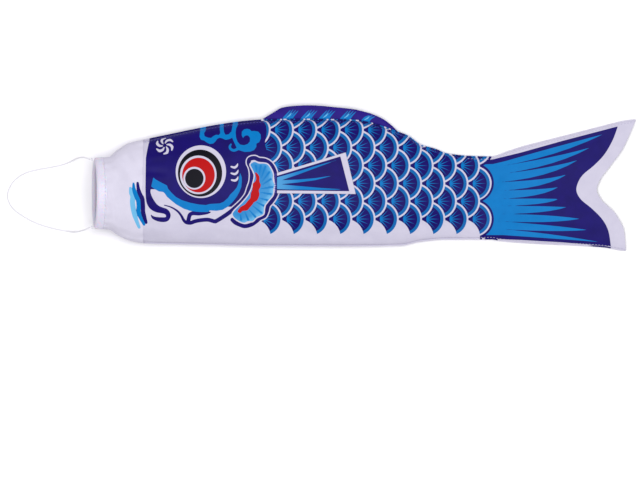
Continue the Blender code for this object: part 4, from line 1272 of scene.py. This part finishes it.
@dataclass
class SideSeams:
    """The ridges along back and belly where the two sides are sewn together, with their stitches."""

    form: CarpForm
    sides: PrintedSides
    art: CarpPrint
    look: bpy.types.Material
    thread: bpy.types.Material
    white_thread: bpy.types.Material
    stitch: float = 2.6 * MM
    stitch_gap: float = 1.5 * MM
    ridge_around: int = 10

    def build_ridge(self, name: str, at_belly: bool, start: float, end: float, steps: int) -> bpy.types.Object:
        """A flat folded ridge that stands out from the tube.

        Args:
            name: its name.
            at_belly: whether it is the belly's seam.
            start: where it starts along the carp.
            end: where it ends.
            steps: rings along it.

        Returns:
            The piece. Its cross-section is a thin oval 1.9 mm out and 1 mm through, which puckers by 0.12 mm
            from stitch to stitch.
        """
        form, way = self.form, -1.0 if at_belly else 1.0
        along = np.linspace(start, end, steps)[:, None]
        angle = np.linspace(0, 2 * math.pi, self.ridge_around, endpoint=False)[None]
        base = (form.belly if at_belly else form.back)(along) - way * 0.75 * MM
        pucker = 1 + 0.12 * np.sin(2 * math.pi * along / (self.stitch + self.stitch_gap))
        out = 0.95 * MM * np.cos(angle) + 0 * along
        up = 0.5 * MM * np.sin(angle) * pucker
        points = np.stack([along - 0.5 * form.length + 0 * angle, base + way * out, form.seam_level(along) + up], -1)
        x = points[..., 0] / MM
        marks = self.art.paint(x, self.sides.edge_print(x, at_belly))
        marks["from_seam"] = np.zeros(x.shape)
        around = self.ridge_around
        faces = grid_faces(steps, around, loop=True, flip=not at_belly).tolist()
        caps = [list(range(around)), list(range((steps - 1) * around, steps * around))]
        caps[int(at_belly)].reverse()
        return make_piece(name, points, np.array([*faces, *caps], object), self.look, marks)

    def build_stitches(self, name: str, at_belly: bool, start: float, end: float) -> bpy.types.Object:
        """A row of sunken stitches just inside a seam.

        Args:
            name: its name.
            at_belly: whether it is the belly's seam.
            start: where it starts along the carp.
            end: where it ends.

        Returns:
            The piece: short capsules of 0.3 mm radius.
        """
        form, way = self.form, -1.0 if at_belly else 1.0
        first = np.arange(start, end - self.stitch, self.stitch + self.stitch_gap)[:, None]
        along = first + 0.5 * self.stitch * (1 + 0.98 * np.linspace(-1, 1, STITCH_RINGS)[None])
        inset = form.seam_height + (0.9 if at_belly else 2.0) * MM
        edge = (form.belly if at_belly else form.back)(along) - way * inset
        line = form.on_flank(along, edge, Side.LEFT, 0.12 * MM)
        points, faces = capsules(line, np.array([0.0, 1.0, 0.0]), np.array([0.0, 0.0, 1.0]), 0.30 * MM)
        return make_piece(name, points, faces, self.thread if name == "flank_back_stitches" else self.white_thread)

    def build(self) -> list[bpy.types.Object]:
        """All four ridges and their stitches.

        Returns:
            The pieces.
        """
        form, join, pieces = self.form, self.sides.join, []
        runs = (
            ("flank", self.sides.start, join, 420, "torso", "rear_body", ("flank",)),
            ("tail", join, form.length, 220, "rear_body", "tail", ("rear", "tail")),
        )
        for word, start, end, steps, before, after, nodes in runs:
            for at_belly in (False, True):
                seam = "belly" if at_belly else "back"
                stop = end - form.lobe_inset if at_belly and word == "tail" else end
                ridge = self.build_ridge(f"{word}_{seam}_ridge", at_belly, start, stop, steps)
                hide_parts(*[f"{n}_{seam}_seam" for n in nodes])
                rows = self.build_stitches(f"{word}_{seam}_stitches", at_belly, start + 2 * MM, stop - 3 * MM)
                for piece in (ridge, rows):
                    bend_at_hinge(piece)
                    pieces.append(piece)
        return pieces


@dataclass
class Mouth:
    """The white collar, the hem that holds the hoop, their stitches, and the hoop and its sleeve."""

    form: CarpForm
    art: CarpPrint
    creases: Creases
    white: bpy.types.Material
    printed: bpy.types.Material
    thread: bpy.types.Material
    rod: bpy.types.Material
    metal: bpy.types.Material
    around: int = 320
    collar_columns: int = 76
    collar_length: float = 0.0535  # of the flat cloth, hems not counted
    stitch_count: int = 62

    def collar_points(self, along: Array, angle: Array) -> Array:
        """The collar's surface.

        Args:
            along: places along it.
            angle: places round it, 0 at the back.

        Returns:
            Points: an oval whose lower half flattens on the table towards the printed sides, with shallow
            gathers that grow towards both sewn edges, sheared with the hoop.
        """
        form = self.form
        top, low = form.back(along), form.belly(along)
        middle, reach = 0.5 * (top + low), 0.5 * (top - low)
        deep = form.seam_share(along) * form.thickness(along)
        share = np.clip((along - form.casing_end()) / (form.collar_end - form.casing_end()), 0, 1)
        bow, flat = np.sin(angle), 1 + (form.flat_share - 1) * share
        gather = 0.45 * MM * np.sin(19 * angle + 2.2 * np.sin(2 * angle)) * (1 - 3.2 * share * (1 - share))
        gather = gather + 0.5 * MM * np.sin(5 * angle + 7 * share) * np.sin(math.pi * share)
        gather = gather + self.creases.height((along - 0.5 * form.length) / MM, (middle + reach * np.cos(angle)) / MM)
        upper = (form.thickness(along) - deep) * bow + gather * np.clip(bow * 3, 0, 1)
        lower = deep * np.maximum(-1.0, bow / flat)
        height = deep + np.where(bow > 0, upper, lower)
        points = np.stack([along - 0.5 * form.length + 0 * angle, middle + reach * np.cos(angle), height], -1)
        points = form.lean(points, along)
        points[..., 2] = np.clip(points[..., 2], 0.1 * MM, form.mouth_height)
        return points

    def build_collar(self) -> bpy.types.Object:
        """The collar, with the wave printed on both its sides."""
        form = self.form
        angle = np.linspace(0, 2 * math.pi, self.around, endpoint=False)[:, None]
        along = np.linspace(form.casing_end() - 1.5 * MM, form.collar_end + 0.4 * MM, self.collar_columns)[None]
        points = self.collar_points(along + 0 * angle, angle + 0 * along)
        painter = Painter(points[..., 0] / MM, points[..., 1] / MM)
        self.art.paint_waves(painter)
        faces = grid_faces(self.around, self.collar_columns, ring=True)
        collar = make_piece("sewn_collar", points, faces, self.printed, painter.marks())
        give_wall(collar, 0.5 * MM)
        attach(collar, "torso")
        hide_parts("mouth_collar")
        return collar

    def on_hoop(self, along: Array, inset: Array, angle: Array) -> Array:
        """Points round the mouth: inset from its outside, along from its rim, sheared with the hoop."""
        form = self.form
        rise = form.mouth_middle + (0.5 * form.mouth_width - inset) * np.cos(angle)
        height = 0.5 * form.mouth_height + (0.5 * form.mouth_height - inset) * np.sin(angle)
        x = form.rim_along() + along - 0.5 * form.length + form.mouth_lean * (height - 0.5 * form.mouth_height)
        return np.stack([x + 0 * angle, rise, height], -1)

    def build_casing(self) -> bpy.types.Object:
        """The hem: a drop-shaped profile round the hoop, carried round the mouth.

        Returns:
            The piece. The profile is a half circle of 3.3 mm round the hoop's line, and from it two layers
            run back and meet at the stitches. It puckers a little from stitch to stitch.
        """
        bend = np.linspace(-0.5 * math.pi, 0.5 * math.pi, 13)
        front = np.stack([3.3 * (1 - np.cos(bend)), 3.3 * (1 + np.sin(bend))], -1)
        back = ((5.2, 5.9), (7.2, 4.3), (9.2, 2.6), (11.2, 1.3), (12.9, 1.0), (13.1, 0.4), (12.9, -0.1),
                (11.6, -0.05), (10.9, 0.35), (10.2, 0.0), (7.2, 0.0), (5.2, 0.0))  # fmt: skip
        along, inset = (np.concatenate([front, back]) * MM).T[:, None]
        angle = np.linspace(0, 2 * math.pi, self.around, endpoint=False)[:, None]
        pucker = 0.16 * MM * np.sin(self.stitch_count * angle) * np.clip((along - 3 * MM) / (9 * MM), 0, 1)
        points = self.on_hoop(along + 0 * angle, inset + pucker, angle + 0 * along)
        points[..., 2] = np.clip(points[..., 2], 0.02 * MM, self.form.mouth_height)
        faces = grid_faces(self.around, along.size, ring=True, loop=True)
        casing = make_piece("hoop_hem", points, faces, self.white)
        turn_faces_out(casing)
        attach(casing, "torso")
        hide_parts("hoop_casing")
        return casing

    def build_stitches(self) -> bpy.types.Object:
        """The hem's stitches: capsules 2.6 mm long every 4 mm round the mouth, half sunk in the cloth."""
        first = np.arange(self.stitch_count)[:, None] * 2 * math.pi / self.stitch_count
        angle = first + 0.033 * np.linspace(-1, 1, STITCH_RINGS)[None]
        line = self.on_hoop(np.full(angle.shape, 10.9 * MM), np.full(angle.shape, 0.15 * MM), angle)
        line[..., 2] = np.clip(line[..., 2], 0.35 * MM, self.form.mouth_height - 0.3 * MM)
        out = np.stack([0 * angle, np.cos(angle), np.sin(angle)], -1)[:, :, None]
        points, faces = capsules(line, out, np.array([-1.0, 0.0, 0.0]), 0.32 * MM)
        stitches = make_piece("hem_stitches", points, faces, self.thread)
        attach(stitches, "torso")
        return stitches

    def dress_hoop(self) -> None:
        """Gives the hoop and its sleeve, which keep their CAD shapes, their materials."""
        for node, look in (("mouth_hoop", self.rod), ("hoop_ferrule", self.metal)):
            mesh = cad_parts[node].data
            mesh.materials.clear()
            mesh.materials.append(look)


@dataclass
class DorsalFin:
    """The doubled strip that stands on the back seam."""

    form: CarpForm
    look: bpy.types.Material
    start: float = 221 * MM
    end: float = 393 * MM
    height: float = 17.15 * MM
    flat: tuple[float, float] = (0.0175, 0.172)
    columns: int = 270
    rows: int = 27
    profile: Line = (
        (0, 0.05), (0.08, 0.51), (0.14, 0.83), (0.22, 0.94), (0.343, 1), (0.547, 0.875), (0.70, 0.745), (0.88, 0.55),
        (0.96, 0.27), (1, 0.04),
    )  # fmt: skip
    clusters: Sequence[tuple[float, int]] = ((-94, 4), (-70, 4), (-47, 4), (-20, 4), (6, 3))

    def build(self) -> bpy.types.Object:
        """The fin, both its faces.

        Returns:
            The piece: a closed strip whose halves bow apart by up to 0.9 mm and meet at its edge, and
            which waves by 1 mm along its free edge.
        """
        form, columns, rows = self.form, self.columns, self.rows
        share = np.linspace(0, 1, columns)[None]
        along = self.start + (self.end - self.start) * share
        tall = self.height * SmoothCurve(self.profile)(share)
        round_about = np.linspace(0, 2 * math.pi, 2 * rows, endpoint=False)[:, None]
        out = 0.5 * (1 - np.cos(round_about))
        rise = form.back(along) + 0.2 * MM + tall * out
        wave = 1.0 * MM * np.sin(9.5 * math.pi * share + 1.0) * out**1.5 * np.minimum(1, tall / self.height * 1.4)
        thick = 0.85 * MM * np.sin(round_about) * (1 - 0.55 * out)
        level = form.seam_level(along) + wave + thick
        points = np.stack([along - 0.5 * form.length + 0 * out, rise, level], -1)
        marks = self.paint(points[..., 0] / MM, (rise - form.back(along)) / MM + 0 * share)
        faces = grid_faces(2 * rows, columns, ring=True).tolist()
        n = np.arange(2 * rows) * columns
        caps = [n.tolist()[::-1], (n + columns - 1).tolist()]
        fin = make_piece("dorsal_strip", points, np.array([*faces, *caps], object), self.look, marks)
        turn_faces_out(fin)
        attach(fin, "torso")
        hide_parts("dorsal_fin")
        return fin

    def paint(self, x: Array, up: Array) -> dict[str, Array]:
        """Clusters of slanted strokes.

        Args:
            x: places along the carp, in millimetres.
            up: places from the fin's foot, in millimetres.

        Returns:
            The fields for the printed satin: all navy, with sky strokes and a thin pale stroke in each cluster.
        """
        painter = Painter(x, up)
        painter.lay(None, np.full(x.shape, FAR))
        for middle, count in self.clusters:
            for k in range(count):
                foot = middle + 3.4 * (k - 0.5 * (count - 1))
                reach = 12.2 - 0.7 * abs(k - 1) - (2.5 if middle > 0 else 0)
                line = ((foot - 3.4, 0.6), (foot, 5.0), (foot + 5.6, reach))
                painter.stroke(Ink.SKY, line, (1.5, 1.0, 0.15))
            painter.stroke(Ink.PALE, ((middle - 5, 1.5), (middle - 1, 4.4), (middle + 2, 8)), (0.2, 0.7, 0.1))
        return painter.marks()


@dataclass
class PectoralFins:
    """The free flap on each side, sewn down along its front edge."""

    form: CarpForm
    printed: bpy.types.Material
    thread: bpy.types.Material
    along: float = 239 * MM
    length: float = 101 * MM
    rake: float = 13 * MM
    root: tuple[float, float] = (6 * MM, -20 * MM)
    end: tuple[float, float] = (32.5 * MM, -21 * MM)
    border: tuple[float, float] = (3.7, 7.2)  # along the sides and at the end, in millimetres
    flat: tuple[float, float] = (0.0535, 0.1015)
    columns: int = 120
    rows: int = 64
    tacks: int = 9
    tack_points: int = 16  # along each
    rays: Line = (
        (-114, -0.4), (-100, 3.4), (-80, 9.2), (-58, 16.0), (-34, 22.6), (-60, 13.0), (-84, 4.0), (-105, -3.2),
        (-84, -2.4), (-62, -0.6), (-38, 3.0), (-62, -3.2), (-84, -6.2), (-106, -8.4), (-84, -10.6), (-54, -13.2),
        (-22, -15.2), (-60, -15.8), (-90, -15.3), (-114, -14.6),
    )  # fmt: skip

    def surface(self, side: Side, out: Array, down: Array) -> Array:
        """A fin's surface.

        Args:
            side: which side it is on.
            out: share of the way from its root to its end.
            down: share of the way from its upper to its lower edge.

        Returns:
            Points a little off the flank, where a soft ripple of 0.7 mm runs along the left fin.
        """
        length = self.length - self.rake * (1 - down)
        top = self.root[0] + out * (self.end[0] - self.root[0])
        low = self.root[1] + out * (self.end[1] - self.root[1])
        clear = 0.75 * MM + 0 * out
        if side is Side.LEFT:
            ripple = 0.5 + 0.5 * np.sin(4.2 * down + 5.5 * out + 0.6)
            clear = clear + 0.75 * MM * out * ripple
        points = self.form.on_flank(self.along + out * length, top + down * (low - top), side, 0.0)
        points[..., 2] += side.value * clear
        return points

    def paint(self, out: Array, down: Array) -> dict[str, Array]:
        """A white border round navy, with three sky rays from the root.

        Args:
            out: share of the way from its root to its end.
            down: share of the way from its upper to its lower edge.

        Returns:
            The fields, drawn in the flat fin's own millimetres as it shows from above.
        """
        x = (self.along + out * (self.length - self.rake * (1 - down)) - 0.5 * self.form.length) / MM
        top = self.root[0] + out * (self.end[0] - self.root[0])
        low = self.root[1] + out * (self.end[1] - self.root[1])
        y = (top + down * (low - top)) / MM
        painter = Painter(x, y)
        edge, end = self.border
        navy = ((-114, 5.2 - edge), (-22.6 - end, 31.0 - edge), (-11.2 - end, -21 + edge), (-114, -20 + edge))
        painter.area(None, navy, soft=False)
        painter.area(Ink.SKY, self.rays, soft=False)
        painter.wash = 0.45 * (1 - smooth_step(x, -112, -78))
        return painter.marks()

    def build(self) -> list[bpy.types.Object]:
        """Both fins and the stitches at their roots.

        Returns:
            The pieces.
        """
        pieces = []
        out, down = np.linspace(0, 1, self.columns)[None], np.linspace(0, 1, self.rows)[:, None]
        out, down = out + 0 * down, down + 0 * out
        for side in Side:
            word = side.name.lower()
            points = self.surface(side, out, down)
            faces = grid_faces(self.rows, self.columns, flip=side is Side.RIGHT)
            fin = make_piece(f"{word}_fin_flap", points, faces, self.printed, self.paint(out, down))
            give_wall(fin, 0.45 * MM, 0.0)
            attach(fin, f"{word}_fin")
            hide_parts(f"{word}_pectoral_fin")
            pieces += [fin, self.build_stitches(word, side)]
        return pieces

    def build_stitches(self, word: str, side: Side) -> bpy.types.Object:
        """Nine zigzag stitches over a fin's front edge.

        Args:
            word: the side's name.
            side: which side.

        Returns:
            The piece: a tube of 0.3 mm radius that follows a zigzag of 2.2 mm on the flank.
        """
        share = np.linspace(0, 1, self.tacks * self.tack_points + 1)
        zig = np.abs(((share * self.tacks) % 1.0) * 2 - 1)
        along = self.along - (0.9 + 2.1 * smooth_step(zig, 0.0, 1.0)) * MM
        rise = self.root[0] + share * (self.root[1] - self.root[0])
        line = self.form.on_flank(along, rise, side, 0.42 * MM)
        points, faces, _ = tube(line, 0.3 * MM, 7)
        row = make_piece(f"{word}_fin_tacks", points, faces, self.thread)
        turn_faces_out(row)
        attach(row, "torso")
        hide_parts(f"{word}_fin_stitching")
        return row


@dataclass
class Bridle:
    """The cord loop at the mouth, and the knots that tie it to the hoop."""

    look: bpy.types.Material
    diameter: float = 1.6 * MM
    steps: int = 380
    around: int = 12
    knot_steps: int = 96
    knot_around: int = 10
    route: Sequence[tuple[float, float, float]] = (
        (-350.9, 23.6, 34.2), (-356.5, 25.6, 30.0), (-362.5, 26.2, 21.5), (-368.5, 24.8, 11.5), (-375.0, 21.8, 4.2),
        (-384.0, 18.0, 1.0), (-405.5, 13.1, 0.85), (-421.0, 10.2, 0.85), (-434.9, 6.3, 0.85), (-446.0, -0.6, 0.85),
        (-454.5, -11.0, 0.85), (-458.0, -24.0, 0.85), (-452.8, -37.0, 0.85), (-438.6, -48.8, 0.85),
        (-417.7, -59.4, 0.85), (-399.3, -65.0, 0.85), (-384.0, -68.0, 1.0), (-375.0, -69.2, 4.2),
        (-368.5, -69.3, 11.5), (-362.5, -68.2, 21.5), (-356.5, -66.2, 30.0), (-350.9, -63.6, 34.2),
    )  # fmt: skip
    knots: Sequence[tuple[str, tuple[float, float, float]]] = (
        ("upper", (-348.21, 23.6, 34.5)),
        ("lower", (-348.21, -63.6, 34.5)),
    )

    def line(self) -> Array:
        """The cord's own line: cubic pieces with even-handed slopes in X and Y, and a curve with no overshoot in Z."""
        route = np.array(self.route) * MM
        run = np.concatenate([[0], np.cumsum(np.linalg.norm(np.diff(route, axis=0), axis=1))])
        at = np.linspace(0, run[-1], self.steps)
        flat = [cubic(run, way, np.gradient(way, run), at) for way in route.T[:2]]
        return np.stack([*flat, SmoothCurve([*zip(run.tolist(), route[:, 2].tolist())])(at)], -1)

    def build_knot(self, word: str, middle: tuple[float, float, float]) -> bpy.types.Object:
        """A pulled-tight knot.

        Args:
            word: which knot.
            middle: its centre, in millimetres.

        Returns:
            The piece: a tube along a trefoil, (sin t + 2 sin 2t, cos t - 2 cos 2t, -1.1 sin 3t) times 0.56 mm.
        """
        t = np.linspace(0, 2 * math.pi, self.knot_steps, endpoint=False)
        line = np.stack([-1.1 * np.sin(3 * t), np.sin(t) + 2 * np.sin(2 * t), np.cos(t) - 2 * np.cos(2 * t)], -1)
        line = line * 0.56 * MM + np.array(middle) * MM
        points, faces, run = tube(line, 0.72 * MM, self.knot_around, closed=True)
        spin = np.tile(np.linspace(0, 2 * math.pi, self.knot_around, endpoint=False), len(line))
        knot = make_piece(f"{word}_knot", points, faces, self.look, {"cord_run": run / MM, "cord_spin": spin})
        turn_faces_out(knot)
        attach(knot, "bridle")
        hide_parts(f"{word}_bridle_knot")
        return knot

    def build(self) -> list[bpy.types.Object]:
        """The knots and the cord.

        Returns:
            The pieces.
        """
        knots = [self.build_knot(word, middle) for word, middle in self.knots]
        line = self.line()
        points, faces, run = tube(line, 0.5 * self.diameter, self.around)
        spin = np.tile(np.linspace(0, 2 * math.pi, self.around, endpoint=False), len(line))
        spin = np.concatenate([spin, [0, 0]])
        cord = make_piece("bridle_loop", points, faces, self.look, {"cord_run": run / MM, "cord_spin": spin})
        turn_faces_out(cord)
        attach(cord, "bridle")
        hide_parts("bridle_cord")
        return [*knots, cord]


@dataclass
class Studio:
    """Floor, soft light and camera."""

    floor_colour: str = "#F7F6F9"
    span: float = 0.822  # width of the view at the table
    lens: float = 400.0
    sensor: float = 36.0
    middle: tuple[float, float] = (-0.0559, -0.0799)
    sky_strength: float = 0.42
    # Each lamp's name, place, width and power
    lamps: Sequence[tuple[str, tuple[float, float, float], float, float]] = (
        ("key", (-0.1, -0.02, 3.0), 2.0, 76.0),
        ("fill", (0.6, 1.0, 3.0), 2.0, 8.0),
    )

    def build_camera(self) -> bpy.types.Object:
        """A camera straight above, far enough that the carp shows without perspective."""
        data = bpy.data.cameras.new("camera")
        data.lens, data.sensor_width, data.clip_end = self.lens, self.sensor, 100.0
        camera = bpy.data.objects.new("camera", data)
        camera.location = (*self.middle, self.span * self.lens / self.sensor + 0.02)
        bpy.context.scene.collection.objects.link(camera)
        bpy.context.scene.camera = camera
        return camera

    def build_floor(self) -> bpy.types.Object:
        """A plain pale sheet with the faintest grain."""
        made, tree, shader = new_material("painted_board")
        place = add(tree, "ShaderNodeTexCoord").outputs["Object"]
        grain = add(tree, "ShaderNodeTexNoise", {"Vector": place, "Scale": 240.0, "Detail": 3.0})
        bump = add(tree, "ShaderNodeBump", {"Height": grain.outputs[0], "Strength": 0.04, "Distance": 0.0002})
        paint = {"Base Color": linear(self.floor_colour), "Roughness": 0.9, "Specular IOR Level": 0.1}
        feed(tree, shader, {"Normal": bump.outputs[0], **paint})
        u = np.linspace(-3, 3, 2)
        points = np.stack([*np.meshgrid(u, u, indexing="ij"), np.zeros((2, 2))], -1)
        floor = make_piece("studio_floor", points, grid_faces(2, 2, flip=True), made)
        return floor

    def build_lights(self) -> None:
        """A pale sky all round, a wide soft lamp overhead, and a weak one from the back's side."""
        world = bpy.data.worlds.new("soft_sky")
        bpy.context.scene.world = world
        world.use_nodes = True
        backdrop = world.node_tree.nodes["Background"]
        feed(world.node_tree, backdrop, {"Color": linear("#FFFFFF"), "Strength": self.sky_strength})
        for name, place, size, power in self.lamps:
            data = bpy.data.lights.new(name, "AREA")
            data.shape, data.size, data.energy = "SQUARE", size, power
            lamp = bpy.data.objects.new(name, data)
            lamp.location = place
            x, y, z = (-float(v) for v in place)
            lamp.rotation_euler = (math.atan2(math.hypot(x, y), -z), 0.0, math.atan2(y, x) - 0.5 * math.pi)
            bpy.context.scene.collection.objects.link(lamp)
        bpy.context.scene.view_settings.view_transform = "Standard"


def main() -> None:
    """Builds the scene: camera and cord first, then the cloth, its seams, the mouth and the fins."""
    logging.basicConfig(level=logging.INFO, format="%(name)s: %(message)s")
    studio = Studio()
    studio.build_camera()
    studio.build_floor()
    studio.build_lights()
    cord, thread = BraidedCord().make(), SpunThread().make()
    # Its second colour is the painted highlight on the crowns of the twist
    white_thread = SpunThread("white_polyester_thread", "#A8A2C0", "#C2BDD4").make()
    white, printed = PolyesterSatin().make(), PrintedSatin().make()
    collar_cloth = PrintedSatin(name="collar_polyester_satin", white="#D5D1E2", shade="#C8C4D6").make()
    fin_cloth = PrintedSatin(name="fin_polyester_satin", navy="#160A58", navy_light="#2E198C").make()
    form, art = CarpForm(), CarpPrint()
    pieces = Bridle(cord).build()
    creases = Creases()
    sides = PrintedSides(form, art, creases, printed)
    pieces += sides.build()
    pieces += SideSeams(form, sides, art, printed, thread, white_thread).build()
    rod, sleeve = PultrudedRod().make(), DrawnAluminium().make()
    mouth = Mouth(form, art, creases, white, collar_cloth, white_thread, rod, sleeve)
    pieces += [mouth.build_collar(), mouth.build_casing(), mouth.build_stitches()]
    mouth.dress_hoop()
    pieces.append(DorsalFin(form, fin_cloth).build())
    pieces += PectoralFins(form, printed, thread).build()
    for piece in pieces:
        LOG.info("%s: %d faces", piece.name, len(piece.data.polygons))


if __name__ == "__main__":
    main()
